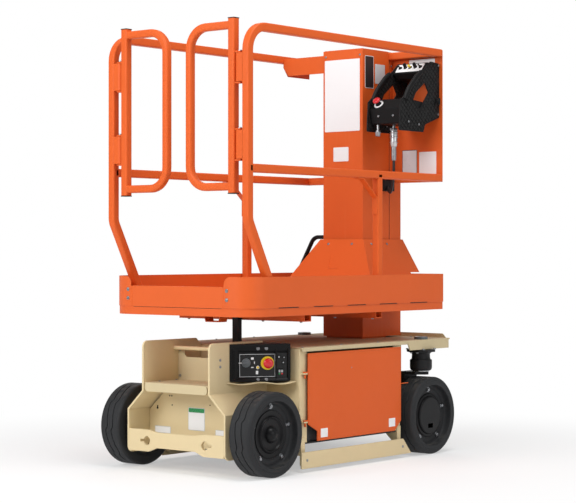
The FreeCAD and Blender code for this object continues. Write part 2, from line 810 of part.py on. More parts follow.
def rear_axles():
    """Return the fixed stub axles on the lower cheeks, each with a square root plate."""
    half = axle_flange_half
    flange = box(rear_axle_x - half, rear_axle_x + half, cheek_lower_y, cheek_lower_y + axle_flange,
                 axle_z - half, axle_z + half)
    return pair(joined(flange, stub_axle(rear_axle_x, cheek_lower_y)))


# ================================================================ mast
def stage_size(step_in):
    """Return rear X, front X and half width of a mast section, counted inwards from the sleeve."""
    inset = step_in * (mast_wall + stage_gap)
    return mast_rear_x + inset, mast_front_x - inset, mast_half_width - inset


def section_tube(step_in, bottom, top, wall):
    """Return one rectangular mast section, open at both ends."""
    rear, front, half = stage_size(step_in)
    outer = box(rear, front, -half, half, bottom, top)
    return outer.cut(box(rear + wall, front - wall, -half + wall, half - wall, bottom - 1, top + 1))


def wear_pads(step_in, top):
    """Return the four wear pads near the top of a section, running in the section around it."""
    rear, front, half = stage_size(step_in)
    middle = (rear + front) / 2
    low = top - pad_height - pad_drop
    faces = [box(rear - pad_thickness, rear, -pad_width / 2, pad_width / 2, low, low + pad_height),
             box(front, front + pad_thickness, -pad_width / 2, pad_width / 2, low, low + pad_height),
             box(middle - pad_width / 2, middle + pad_width / 2, half, half + pad_thickness,
                 low, low + pad_height)]
    return faces + [mirrored(faces[2])]


def mast_section(step_in, bottom, top):
    """Return an inner mast section with its wear pads."""
    return joined(section_tube(step_in, bottom, top, stage_wall), *wear_pads(step_in, top))


def mast_sleeve():
    """Return the outer sleeve that carries the platform, closed at its top."""
    rear, front, half = stage_size(0)
    body = section_tube(0, mast_bottom, mast_top, mast_wall)
    return joined(body, box(rear, front, -half, half, mast_top - mast_wall, mast_top))


def mast_cover():
    """Return the channel cover along the mast's front, with its closed top."""
    rear = mast_front_x + seat
    front = mast_front_x + mast_cover_depth
    half = mast_half_width
    wall = mast_cover_sheet
    outer = plate([(rear, -half), (front, -half), (front, half), (rear, half)],
                  mast_top - mast_bottom, "z", mast_bottom, [0, mast_cover_corner, mast_cover_corner, 0])
    inner = box(rear - 1, front - wall, -half + wall, half - wall, mast_bottom - 1, mast_top - wall)
    return outer.cut(inner)


def mast_skirt():
    """Return the flared sheet skirt round the mast, from its rim down to the floor."""
    front = mast_front_x + mast_cover_depth

    def block(inset, low, high):
        rings = []
        for height in (low, high):
            fall = 1 - (height - floor_top) / skirt_height
            rear = mast_rear_x - skirt_gap - skirt_rear_run * fall + inset
            half = mast_half_width + skirt_gap + skirt_side_run * fall - inset
            rings.append([Vector(rear, -half, height), Vector(front, -half, height),
                          Vector(front, half, height), Vector(rear, half, height)])
        return tapered(*rings)

    shell = block(0, floor_top, floor_top + skirt_height)
    shell = shell.cut(block(skirt_sheet, floor_top - 1, floor_top + skirt_height + 1))
    shell = shell.cut(box(front - skirt_sheet, front + 1, -half_width, half_width, floor_top - 1,
                          floor_top + skirt_height + 1))
    ahead = box(tray_front_x - toe_wall - fold_step - seat, front + 1, -half_width, half_width,
                floor_top - 1, toe_top + run)
    return shell.cut(ahead)


# ================================================================ platform
def tray_outline(inset, bottom, top):
    """Return a block of the tray's plan form, drawn in by an inset."""
    half = tray_half_width - inset
    rear = tray_rear_x + inset
    front = tray_front_x - inset
    rear_r = tray_rear_corner - inset
    return plate([(rear, -half), (front, -half), (front, half), (rear, half)], top - bottom, "z",
                 bottom, [rear_r, 0, 0, rear_r])


def platform_tray():
    """Return the platform's pan with toe boards, the low rear entry and the mast's opening."""
    body = joined(tray_outline(fold_step, floor_z, fold_z), tray_outline(0, fold_z, toe_top))
    body = body.cut(tray_outline(toe_wall + fold_step, floor_top, fold_z))
    body = body.cut(tray_outline(toe_wall, fold_z, toe_top + 1))
    x0 = tray_rear_x - 1
    x1 = tray_rear_x + tray_rear_corner / 2
    entry = box(x0, x1, -entry_half_width, entry_half_width, entry_top, toe_top + 1)
    body = body.cut(entry)
    edge = entry_half_width + entry_corner
    for side in (1, -1):
        low, high = sorted((side * entry_half_width, side * edge))
        corner = box(x0, x1, low, high, toe_top - entry_corner, toe_top + 1)
        round_edge = cylinder(entry_corner, (x0, side * edge, toe_top - entry_corner), (1, 0, 0), x1 - x0)
        body = body.cut(corner.cut(round_edge))
    front = mast_front_x + mast_cover_depth
    opening = box(mast_rear_x - seat, front + 1, -mast_half_width - seat, mast_half_width + seat,
                  floor_z - 1, toe_top + 1)
    return body.cut(opening)


def rest_bracket():
    """Return the small folded bracket under the rear of the platform."""
    t = beam_sheet
    top = bracket_half
    low = bracket_half - bracket_slant
    bottom = floor_z - bracket_height
    outer = [(-top, floor_z), (-low, bottom), (low, bottom), (top, floor_z)]
    inner = [(top - 1.5 * t, floor_z), (low - t / 2, bottom + t), (-low + t / 2, bottom + t),
             (-top + 1.5 * t, floor_z)]
    return plate(outer + inner, bracket_length, "x", rear_axle_x + bracket_gap)


def cross_beams():
    """Return the channel beams across the underside of the platform, and its rest bracket."""
    beams = []
    half = tray_half_width - beam_end_gap
    for x in beam_places:
        rear = x - beam_width / 2
        block = box(rear, rear + beam_width, -half, half, floor_z - beam_height, floor_z)
        hollow = box(rear + beam_sheet, rear + beam_width - beam_sheet, -half - 1, half + 1,
                     floor_z - beam_height + beam_sheet, floor_z + 1)
        beams.append(block.cut(hollow))
    return Part.makeCompound(beams + [rest_bracket()])


def hinge_sleeve(side, bottom):
    """Return one gate hinge sleeve: a round-nosed block on the rail's post, bored for the pin."""
    centre = (rail_post_x, side * hinge_y)
    radius = gate_gap - hinge_face_gap
    inner, outer = sorted((side * hinge_y, side * (rail_y - tube / 2)))
    web = box(rail_post_x - radius, rail_post_x + radius, inner, outer, bottom, bottom + sleeve_height)
    barrel = cylinder(radius, (*centre, bottom), (0, 0, 1), sleeve_height)
    bore = cylinder(hinge_pin_radius + pin_fit, (*centre, bottom - 1), (0, 0, 1), sleeve_height + 2)
    return barrel.fuse(web).cut(bore)


def post_gusset(y):
    """Return the bent strap that braces the side post under the mid rail."""
    face = side_post_x - tube / 2
    top = rail_mid - tube / 2
    t = gusset_sheet
    outer = [(face - gusset_reach, top), (face - gusset_flat, top), (face, top - gusset_drop),
             (face, top - gusset_length)]
    inner = [(face - t, top - gusset_length), (face - t, top - gusset_drop - t / 2),
             (face - gusset_flat - t / 2, top - t), (face - gusset_reach, top - t)]
    return plate(outer + inner, gusset_width, "y", y - gusset_width / 2)


def side_rail(side):
    """Return one side's rails: hooped post and top rail, mid rail, side post and hinge sleeves."""
    y = side * rail_y
    mast_y = side * (mast_half_width + seat)
    lean = rail_lean / (rail_kink - floor_top)
    foot = Vector(rail_post_x + rail_lean + lean * tube, y, floor_top - tube)
    half = tube / 2
    hoop = bent_tube([foot, Vector(rail_post_x, y, rail_kink), Vector(rail_post_x, y, rail_top),
                      Vector(rail_front_x + half, y, rail_top)],
                     [rail_kink_bend, rail_bend], tube, Vector(0, 1, 0))
    below = box(rail_post_x, rail_front_x, y - tube, y + tube, floor_top - 4 * tube, floor_top)
    parts = [hoop.cut(below),
             box(rail_post_x, rail_front_x + half, y - half, y + half, rail_mid - half, rail_mid + half),
             box(side_post_x - half, side_post_x + half, y - half, y + half, floor_top, rail_mid)]
    near, far = sorted((mast_y, y))
    for z in (rail_mid, rail_top):
        parts.append(box(rail_front_x - half, rail_front_x + half, near, far, z - half, z + half))
    parts += [hinge_sleeve(side, bottom) for bottom in sleeve_places]
    return joined(*parts, post_gusset(y))


def gate(side):
    """Return one gate: post, D-shaped loop, hinge lugs and pins."""
    y = side * gate_post_y
    post = bent_tube([Vector(rail_post_x, y, gate_bottom), Vector(rail_post_x, y, gate_top)], [],
                     tube, Vector(1, 0, 0))
    loop_y = side * gate_meeting_gap
    loop = bent_tube([Vector(rail_post_x, y, gate_loop_top), Vector(rail_post_x, loop_y, gate_loop_top),
                      Vector(rail_post_x, loop_y, gate_loop_bottom),
                      Vector(rail_post_x, y, gate_loop_bottom)],
                     [gate_bend, gate_bend], gate_tube, Vector(1, 0, 0))
    parts = [post, loop]
    lug_half = hinge_half_lug
    for bottom in sleeve_places:
        top = bottom + sleeve_height
        for z in (bottom - lug_thickness - hinge_face_gap, top + hinge_face_gap):
            near, far = sorted((y, side * (hinge_y + lug_half)))
            parts.append(box(rail_post_x - lug_half, rail_post_x + lug_half, near, far, z,
                             z + lug_thickness))
        parts.append(cylinder(hinge_pin_radius, (rail_post_x, side * hinge_y, bottom - lug_thickness),
                              (0, 0, 1), sleeve_height + 2 * lug_thickness))
    return joined(*parts)


def gate_caps(side):
    """Return the end caps on one gate post."""
    y = side * gate_post_y
    half = tube / 2
    lower = box(rail_post_x - half, rail_post_x + half, y - half, y + half, gate_bottom - gate_cap,
                gate_bottom)
    upper = box(rail_post_x - half, rail_post_x + half, y - half, y + half, gate_top,
                gate_top + gate_cap)
    return Part.makeCompound([lower, upper])


bridge_sheet = 3.0
bridge_height = 74.0
bridge_cut = 30.0
bridge_rise = 2.0


def rail_bridge():
    """Return the folded sheet that ties the left top rail to the mast."""
    rear = mast_rear_x + bridge_sheet
    inner = mast_half_width + seat
    outer = rail_y - tube / 2 - seat
    front = rail_front_x - tube / 2 - seat
    top = rail_top + bridge_rise
    low = top - bridge_height
    middle = top - bridge_height / 2
    arm = plate([(inner, top), (outer, top), (outer, middle), (outer - bridge_cut, low), (inner, low)],
                bridge_sheet, "x", rear)
    lid = plate([(rear, inner), (front, inner), (front, outer), (rear, outer)], bridge_sheet, "z",
                top - bridge_sheet)
    side = plate([(rear, top), (front, top), (front, low),
                  (rear + bridge_cut, low), (rear, middle)], bridge_sheet, "y", outer - bridge_sheet)
    return joined(arm, lid, side)


# ================================================================ platform controls
panel_sheet = 3.0
panel_corner = 8.0
guard_rear_run = 286.0       # guards' rear end to the panel
guard_outer_gap = 14.0       # outer guard in from the rails' outer face
guard_spacing = 167.0
guard_plate = 6.0
console_low = 1326.0         # bottom of the guards
box_under = 29.0             # underside of the control box above that
panel_stop_radius = 17.0
panel_stop_length = 30.0
panel_stop_inset = 30.0      # stop's middle in from the inner guard
gland_gap = 186.0
gland_cover = 100.0          # plug's middle in from the outer guard
gland_across = 30.0
gland_length = 88.0
gland_sleeve_radius = 10.5
gland_sleeve = 58.0
cap_across = 22.0            # short capped plug beside the cable's
cap_drop = 48.0
cap_stem = 22.0
cap_offset_x = 56.0
cap_offset_y = 40.0
cable_radius = 5.5
# the cable's bends: share of the way across to the clamp, and height over the clamp's middle
cable_bends = [(0.0, 51.0), (0.12, 8.0), (0.38, -32.0), (0.7, -34.0)]
cable_entry = 12.0           # how deep the cable sits in the clamp
clamp_gap = 12.0             # clamp to the mast's front edge
clamp_length = 70.0
clamp_height = 50.0
clamp_depth = 36.0
clamp_drop = 27.0            # clamp's middle below the mid rail's
conduit_radius = 9.0
conduit_gap = 13.0           # conduit's middle forward of the skirt's rear rim
conduit_reach = 45.0         # bend's corner out from the skirt's rim
conduit_foot = 39.0          # foot out from the skirt's foot

panel_x = rail_front_x + tube / 2 + seat
panel_bottom = rail_mid - tube / 2
panel_top = rail_top + tube / 2
guard_outer_y = rail_y + tube / 2 - guard_outer_gap
guard_inner_y = guard_outer_y - guard_spacing
gland_x = panel_x - gland_gap
gland_y = gland_cover - guard_outer_y
clamp_rear_x = mast_front_x - clamp_gap - clamp_length
clamp_z = rail_mid - clamp_drop
conduit_x = mast_rear_x - skirt_gap + conduit_gap


def console_panel():
    """Return the sheet across the front right corner that carries the controls."""
    inner = mast_half_width + seat
    outer = rail_y + tube / 2
    return plate([(-outer, panel_bottom), (-inner, panel_bottom), (-inner, panel_top),
                  (-outer, panel_top)], panel_sheet, "x", panel_x, [0, 0, panel_corner, panel_corner])


def control_guards():
    """Return the two side guards of the platform controls, each with its hand window."""
    front = panel_x - seat
    rear = front - guard_rear_run
    shape = [(rear, console_low), (rear + 8, console_low + 121), (rear + 63, console_low + 162),
             (rear + 120, console_low + 215), (front - 63, console_low + 296),
             (front, console_low + 291), (front, console_low + 66), (front - 102, console_low + 32),
             (front - 115, console_low)]
    radii = [0, 0, 50, 50, 0, 0, 0, 0, 0]
    window = [(front - 104, console_low + 205), (front - 78, console_low + 166),
              (front - 142, console_low + 92), (front - 188, console_low + 128),
              (front - 168, console_low + 160)]
    plates = []
    for y in (-guard_outer_y, -guard_inner_y - guard_plate):
        blank = plate(shape, guard_plate, "y", y, radii)
        plates.append(blank.cut(plate(window, guard_plate + 2, "y", y - 1)))
    return Part.makeCompound(plates)


def stop_facet():
    """Return the slanted rear facet of the control box as its lower and upper end."""
    rear = panel_x - seat - guard_rear_run
    low = console_low + box_under
    return Vector(rear + 18, 0, low + 62), Vector(rear + 58, 0, low + 104)


def control_box():
    """Return the lower control box and the raised switch console between the guards."""
    y0 = -guard_outer_y + guard_plate + seat
    y1 = -guard_inner_y - guard_plate - seat
    low = console_low + box_under
    front = panel_x - seat
    facet_low, facet_high = stop_facet()
    lower = plate([(facet_low.x + 8, low), (facet_low.x, facet_low.z), (facet_high.x, facet_high.z),
                   (front - 112, low + 96), (front - 98, low + 20), (front - 110, low)],
                  y1 - y0, "y", y0)
    upper = plate([(front - 112, console_low + 250), (front - 74, console_low + 292),
                   (front, console_low + 288), (front, console_low + 216),
                   (front - 92, console_low + 226)], y1 - y0, "y", y0)
    return Part.makeCompound([lower, upper])


def control_stop():
    """Return the emergency stop on the control box's slanted facet."""
    facet_low, facet_high = stop_facet()
    slope = Vector(facet_high - facet_low).normalize()
    outward = Vector(-slope.z, 0, slope.x)
    side_place = Vector(0, -guard_inner_y - guard_plate - panel_stop_inset, 0)
    place = (facet_low + facet_high) / 2 + side_place + outward * seat
    return cylinder(panel_stop_radius, place, outward, panel_stop_length)


def hex_bar(across, x, y, bottom, top):
    """Return an upright six-sided bar, as wide as given across its flats."""
    corner = across / math.sqrt(3)
    points = [(x + corner * math.cos(math.radians(60 * i)), y + corner * math.sin(math.radians(60 * i)))
              for i in range(6)]
    return plate(points, top - bottom, "z", bottom)


def cable_gland():
    """Return the plugs under the control box: the cable's long one and a short capped one."""
    top = console_low + box_under - seat
    middle = top - gland_length
    plug = hex_bar(gland_across, gland_x, gland_y, middle, top)
    sleeve = cylinder(gland_sleeve_radius, (gland_x, gland_y, middle - gland_sleeve), (0, 0, 1),
                      gland_sleeve)
    cap = hex_bar(cap_across, gland_x - cap_offset_x, gland_y + cap_offset_y, top - cap_drop,
                  top - cap_stem)
    stem = hex_bar(cap_across / 2, gland_x - cap_offset_x, gland_y + cap_offset_y, top - cap_stem, top)
    return Part.makeCompound([joined(plug, sleeve), joined(cap, stem)])


def cable_route():
    """Return the control cable's corners: down from its plug, round, and into the clamp."""
    exit_z = console_low + box_under - seat - gland_length - gland_sleeve - seat
    start = Vector(gland_x, gland_y, exit_z)
    end = Vector(clamp_rear_x + clamp_length / 2, -mast_half_width - clamp_depth + cable_entry, clamp_z)
    across = Vector(end.x - start.x, end.y - start.y, 0)
    bends = [Vector(start.x, start.y, clamp_z + rise) + across * share for share, rise in cable_bends]
    return [start] + bends + [end]


def control_cable():
    """Return the flexible cable that hangs from the control box's plug to the mast's clamp."""
    return round_run(cable_route(), cable_radius)


def cable_clamp():
    """Return the clamp block on the mast's side, open where the cable goes in."""
    outer = -mast_half_width - seat
    block = plate([(clamp_rear_x, -mast_half_width - clamp_depth),
                   (clamp_rear_x + clamp_length, -mast_half_width - clamp_depth),
                   (clamp_rear_x + clamp_length, outer), (clamp_rear_x, outer)],
                  clamp_height, "z", clamp_z - clamp_height / 2)
    last, end = cable_route()[-2:]
    direction = (end - last).normalize()
    mouth = end + direction * seat
    hole = cylinder(cable_radius + seat, mouth - direction * clamp_depth, direction, clamp_depth)
    return block.cut(hole)


def cable_conduit():
    """Return the bent conduit from the mast over the skirt's rim and down its left side."""
    rim = floor_top + skirt_height + conduit_radius + 2 * seat
    start = Vector(conduit_x, mast_half_width + seat, rim)
    corner = Vector(conduit_x, mast_half_width + skirt_gap + conduit_reach, rim)
    foot = Vector(conduit_x, mast_half_width + skirt_gap + skirt_side_run + conduit_foot,
                  floor_top - conduit_radius)
    tube_run = round_run([start, corner, foot], conduit_radius)
    below = box(conduit_x - tube, conduit_x + tube, 0, half_width, floor_z - tube, floor_top + seat)
    return tube_run.cut(below)


# ================================================================ doors and guard bars
def door():
    """Return the left side door: notched sheet with lift-off hinge lugs, pins and latch tab."""
    inner = door_y - door_sheet
    panel = plate([(door_rear_x, door_top), (door_front_x, door_top),
                   (door_front_x, door_notch_front_top), (door_front_x - door_notch_front, door_bottom),
                   (door_rear_x + door_notch_rear, door_bottom),
                   (door_rear_x + door_notch_rear, door_notch_top - door_notch_drop),
                   (door_rear_x, door_notch_top)],
                  door_sheet, "y", inner)
    parts = [panel]
    for z in door_hinge_places:
        parts.append(box(door_pin_x - door_lug_half, door_rear_x + door_pin_gap, inner - 2 * door_sheet,
                         door_y, z + seat, z + seat + door_lug))
        parts.append(cylinder(door_pin_radius, (door_pin_x, door_pin_y, z - door_pin_depth),
                              (0, 0, 1), door_pin_depth + seat + door_lug / 2))
    parts.append(box(door_front_x - 10, door_front_x + latch_reach, inner - latch_sheet, door_y - 1,
                     latch_z, latch_z + latch_sheet))
    return joined(*parts)


def door_hinges():
    """Return the tabs on the frame that the doors' pins drop into."""
    tabs = []
    for z in door_hinge_places:
        tab = box(door_pin_x - door_pin_gap, door_pin_x + door_pin_gap - 2, bay_half_width, door_y,
                  z - door_lug, z)
        bore = cylinder(door_pin_radius + pin_fit, (door_pin_x, door_pin_y, z - door_lug - 1),
                        (0, 0, 1), door_lug + 2)
        tabs += [tab.cut(bore), mirrored(tab.cut(bore))]
    return Part.makeCompound(tabs)


def guard_bar():
    """Return the left pothole guard: a long slant-ended plate on two upright lugs."""
    inner = guard_y - guard_sheet
    near = bay_half_width + seat
    foot = guard_bottom + guard_lug_rise
    bar = plate([(guard_rear_x, guard_bottom), (guard_rear_x, guard_top),
                 (guard_front_x, guard_top), (guard_front_x + guard_slope, guard_bottom)],
                guard_sheet, "y", inner, [guard_corner, guard_corner, 0, 0])
    parts = [bar]
    for x in guard_lug_places:
        parts.append(box(x, x + guard_lug, near, near + guard_sheet, foot, guard_lug_top))
        parts.append(box(x, x + guard_lug, near, inner, foot, foot + 2 * guard_sheet))
    return joined(*parts)


def guard_brackets():
    """Return the frame brackets under the pan that the guard bars' lugs slide on."""
    brackets = []
    y = bay_half_width
    low = pan_bottom - guard_bracket_depth
    for x in guard_lug_places:
        brackets.append(plate([(y - guard_bracket_width, pan_bottom), (y, pan_bottom), (y, low),
                               (y - guard_bracket_toe, low)], guard_lug, "x", x))
    return Part.makeCompound(brackets + [mirrored(b) for b in brackets])


# ================================================================ the machine
def build():
    """Return every node of the machine by name."""
    nodes = {
        "chassis_pan": chassis_pan(),
        "mast_well": mast_well(),
        "bay_walls": bay_walls(),
        "bay_dividers": bay_dividers(),
        "nose_frame": nose_frame(),
        "deck": deck(),
        "rear_cheeks": rear_cheeks(),
        "rear_panel": rear_panel(),
        "step": step(),
        "step_rod": step_rod(),
        "tie_down_bar": tie_down_bar(),
        "ground_control_box": ground_control_box(),
        "ground_control_knobs": ground_control_knobs(),
        "control_shelf": control_shelf(),
        "batteries": batteries(),
        "platform_post": platform_post(),
        "kingpin_caps": kingpin_caps(),
        "steer_housings": steer_housings(),
        "rear_axles": rear_axles(),
        "guard_brackets": guard_brackets(),
        "door_hinges": door_hinges(),
        "mast_base": section_tube(4, pan_bottom + sheet, mast_top - 4 * stage_top_gap, stage_wall),
        "mast_sleeve": mast_sleeve(),
        "mast_cover": mast_cover(),
        "mast_skirt": mast_skirt(),
        "platform_tray": platform_tray(),
        "cross_beams": cross_beams(),
        "rail_bridge": rail_bridge(),
        "console_panel": console_panel(),
        "control_guards": control_guards(),
        "control_box": control_box(),
        "control_stop": control_stop(),
        "cable_gland": cable_gland(),
        "control_cable": control_cable(),
        "cable_clamp": cable_clamp(),
        "cable_conduit": cable_conduit(),
    }
    for number in (1, 2, 3):
        step_in = 4 - number
        nodes["mast_stage_%d" % number] = mast_section(
            step_in, stage_bottom, mast_top - step_in * stage_top_gap)
    for name, side in (("left", 1), ("right", -1)):
        turn = (lambda shape: shape) if side > 0 else mirrored
        nodes["side_rail_" + name] = side_rail(side)
        nodes["gate_" + name] = gate(side)
        nodes["gate_caps_" + name] = gate_caps(side)
        nodes["door_" + name] = turn(door())
        nodes["guard_bar_" + name] = turn(guard_bar())
        nodes["knuckle_" + name] = turn(knuckle())
        for end, axle_x in (("front", front_axle_x), ("rear", rear_axle_x)):
            nodes["tyre_%s_%s" % (end, name)] = turn(tyre(axle_x))
            nodes["hub_%s_%s" % (end, name)] = turn(hub(axle_x, end == "front"))
    return nodes


os.makedirs("parts", exist_ok=True)
for node, shape in build().items():
    shape.exportStep("parts/%s.step" % node)
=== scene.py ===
"""Dresses a vertical mast lift: wheels, paint, controls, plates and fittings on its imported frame."""
import logging
import math
from dataclasses import dataclass
from enum import Enum
from functools import reduce
from typing import Sequence

import bmesh
import bpy
from mathutils import Matrix, Vector
from mathutils.geometry import tessellate_polygon


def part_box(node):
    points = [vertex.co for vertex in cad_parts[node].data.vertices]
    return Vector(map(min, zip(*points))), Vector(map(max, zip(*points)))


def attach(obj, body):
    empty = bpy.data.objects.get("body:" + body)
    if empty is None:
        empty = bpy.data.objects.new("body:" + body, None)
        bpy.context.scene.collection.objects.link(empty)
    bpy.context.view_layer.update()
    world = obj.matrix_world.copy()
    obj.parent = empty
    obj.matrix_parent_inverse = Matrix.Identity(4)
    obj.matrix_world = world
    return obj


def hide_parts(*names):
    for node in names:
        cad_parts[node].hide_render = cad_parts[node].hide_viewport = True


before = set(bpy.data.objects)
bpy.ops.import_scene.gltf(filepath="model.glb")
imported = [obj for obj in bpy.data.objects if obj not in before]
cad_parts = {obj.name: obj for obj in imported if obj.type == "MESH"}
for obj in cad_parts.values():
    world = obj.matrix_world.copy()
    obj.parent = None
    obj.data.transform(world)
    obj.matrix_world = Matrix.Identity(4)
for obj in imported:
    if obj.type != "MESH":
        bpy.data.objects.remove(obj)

LOG = logging.getLogger("mast_lift")
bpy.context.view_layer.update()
Pair = tuple[float, float]
Triple = tuple[float, float, float]
Spots = Sequence[tuple[Sequence[float], Sequence[float]]]
Socket = bpy.types.NodeSocket
WHITE = (1.0, 1.0, 1.0, 1.0)
BACK, RIGHT, LEFT = (-1.0, 0.0, 0.0), (0.0, -1.0, 0.0), (0.0, 1.0, 0.0)
UP, DOWN = (0.0, 0.0, 1.0), (0.0, 0.0, -1.0)
SIDES = (("left", 1.0), ("right", -1.0))
UPRIGHT = Matrix(((1, 0, 0, 0), (0, 0, 1, 0), (0, 1, 0, 0), (0, 0, 0, 1)))
"""The machine's side view: along it, up and across the machine."""


class Slot(Enum):
    """Material slots of the record, one of which each new piece is given."""

    CREAM = "frame_cream"
    ORANGE = "machine_orange"
    MAST = "mast_steel"
    CONTROL = "control_black"
    KNOB = "control_knob"
    CAP = "cap_grey"
    STEER = "steer_black"
    GLAND = "gland_metal"
    CORD = "cord_black"
    GATE_CAP = "cap_black"
    TYRE = "tyre_grey"


# ------------------------------------------------------------------ node trees
class Nodes:
    """Small helper that adds, fills and links nodes in one tree."""

    def __init__(self, tree: bpy.types.NodeTree) -> None:
        """Keep the tree that nodes are added to."""
        self.tree = tree

    def add(self, kind: str, inputs: dict[str | int, object] | None = None, **values: object
            ) -> bpy.types.Node:
        """Add a node, set its properties and fill its inputs.

        Args:
            kind: Blender's node type name.
            inputs: A socket to link or a value for each input, by its name or number.
            values: Properties of the node by name.

        Returns:
            The new node.
        """
        node = self.tree.nodes.new(kind)
        for key, value in values.items():
            setattr(node, key, value)
        for key, value in (inputs or {}).items():
            if isinstance(value, Socket):
                self.tree.links.new(value, node.inputs[key])
            else:
                node.inputs[key].default_value = value
        return node

    def math(self, operation: str, first: object, second: object = 0.0) -> Socket:
        """Add a Math node on two sockets or numbers and return its output."""
        return self.add("ShaderNodeMath", {0: first, 1: second}, operation=operation).outputs[0]

    def times(self, *factors: object) -> Socket:
        """Multiply sockets or numbers."""
        return reduce(lambda first, second: self.math("MULTIPLY", first, second), factors)

    def plus(self, *terms: object) -> Socket:
        """Add up sockets or numbers."""
        return reduce(lambda first, second: self.math("ADD", first, second), terms)

    def minus(self, first: object, second: object) -> Socket:
        """Subtract the second from the first."""
        return self.math("SUBTRACT", first, second)

    def mix(self, factor: object, first: object, second: object) -> Socket:
        """Mix two colours, given as sockets or colours, and return the result's socket."""
        first, second = ((*value, 1.0) if isinstance(value, tuple) else value for value in (first, second))
        return self.add("ShaderNodeMix", {0: factor, 6: first, 7: second}, data_type="RGBA").outputs[2]

    def place(self) -> Socket:
        """Return the Object coordinates."""
        return self.add("ShaderNodeTexCoord").outputs["Object"]

    def noise(self, scale: object, detail: float = 3.0, vector: Socket | None = None) -> Socket:
        """Add a Noise Texture on Object coordinates, or on a given vector, and return its factor."""
        vector = self.place() if vector is None else vector
        return self.add("ShaderNodeTexNoise", {"Scale": scale, "Detail": detail,
                                               "Vector": vector}).outputs["Fac"]

    def ramp(self, value: Socket, low: float, high: float) -> Socket:
        """Map a value range to 0..1 with soft clamping and return the result's socket."""
        return self.add("ShaderNodeMapRange", {"Value": value, "From Min": low, "From Max": high},
                        interpolation_type="SMOOTHSTEP").outputs["Result"]

    def split(self, vector: Socket) -> bpy.types.NodeOutputs:
        """Return the X, Y and Z of a vector."""
        return self.add("ShaderNodeSeparateXYZ", {0: vector}).outputs

    def combine(self, **axes: object) -> Socket:
        """Make a vector of X, Y and Z; what isn't given is zero."""
        return self.add("ShaderNodeCombineXYZ", axes).outputs[0]

    def facing(self) -> Socket:
        """Return the Normal of the true geometry."""
        return self.add("ShaderNodeNewGeometry").outputs["Normal"]

    def group(self, tree: bpy.types.NodeTree, **inputs: object) -> bpy.types.NodeOutputs:
        """Place a shader group, fill its inputs and return its outputs."""
        return self.add("ShaderNodeGroup", inputs, node_tree=tree).outputs


def fresh_nodes(owner: bpy.types.Material | bpy.types.World) -> Nodes:
    """Return the emptied node tree of a material or world."""
    owner.use_nodes = True
    owner.node_tree.nodes.clear()
    return Nodes(owner.node_tree)


class Group(Nodes):
    """A node group with named inputs and outputs."""

    kinds = {float: "NodeSocketFloat", int: "NodeSocketInt", tuple: "NodeSocketColor"}

    def __init__(self, name: str, inputs: dict[str, object], outputs: dict[str, str],
                 kind: str = "ShaderNodeTree") -> None:
        """Create an empty group.

        Args:
            name: The group's name.
            inputs: Each input's default, or the name of its socket type where it has none.
            outputs: Each output's socket type.
            kind: Blender's type name of the tree.
        """
        super().__init__(bpy.data.node_groups.new(name, kind))
        self.keys: dict[str, str] = {}
        new_socket = self.tree.interface.new_socket
        for label, default in inputs.items():
            if isinstance(default, str):
                socket = new_socket(label, in_out="INPUT", socket_type=default)
            else:
                socket = new_socket(label, in_out="INPUT", socket_type=self.kinds[type(default)])
                socket.default_value = default
            self.keys[label] = socket.identifier
        for label, socket_type in outputs.items():
            new_socket(label, in_out="OUTPUT", socket_type=socket_type)
        self.start = self.add("NodeGroupInput")

    def value(self, label: str) -> Socket:
        """Return the socket of a named input."""
        return self.start.outputs[label]

    def close(self, results: dict[str, Socket]) -> bpy.types.NodeTree:
        """Link the results to the group's outputs and return the tree."""
        self.add("NodeGroupOutput", results)
        return self.tree


def edge_wear_and_highlight_group() -> bpy.types.NodeTree:
    """Build the group that finds rubbed edges, also used for painted edge highlights: a broken mask along
    convex and concave edges.
    """
    group = Group("Edge wear and highlight", {"Width": 0.002, "Break Up": 60.0, "Amount": 0.5},
                  {"Mask": "NodeSocketFloat", "Normal": "NodeSocketVector"})
    soft = group.add("ShaderNodeBevel", {"Radius": group.value("Width")}, samples=4).outputs["Normal"]
    dot = group.add("ShaderNodeVectorMath", {0: soft, 1: group.facing()}, operation="DOT_PRODUCT")
    edge = group.ramp(group.minus(1.0, dot.outputs["Value"]), 0.01, 0.12)
    broken = group.ramp(group.noise(group.value("Break Up"), 4.0), 0.42, 0.62)
    return group.close({"Mask": group.times(edge, broken, group.value("Amount")), "Normal": soft})


def tone_group() -> bpy.types.NodeTree:
    """Build the group that varies a colour softly, large and small, and lays dust on top faces."""
    group = Group("Tone and dust", {"Color": (0.8, 0.8, 0.8, 1.0), "Variation": 0.08, "Scale": 3.0,
                                    "Dust": 0.1, "Dust Color": (0.55, 0.5, 0.42, 1.0)},
                  {"Color": "NodeSocketColor", "Dust": "NodeSocketFloat"})
    large = group.noise(group.value("Scale"), 2.0)
    small = group.noise(group.times(group.value("Scale"), 14.0), 4.0)
    blend = group.plus(group.times(large, 0.7), group.times(small, 0.3))
    bright = group.plus(1.0, group.times(group.minus(blend, 0.5), group.value("Variation")))
    tinted = group.add("ShaderNodeVectorMath", {0: group.value("Color"), "Scale": bright}, operation="SCALE")
    upward = group.ramp(group.split(group.facing())["Z"], 0.55, 0.95)
    speckle = group.ramp(group.noise(38.0, 5.0), 0.4, 0.7)
    dust = group.times(upward, speckle, group.value("Dust"))
    return group.close({"Color": group.mix(dust, tinted.outputs[0], group.value("Dust Color")),
                        "Dust": dust})


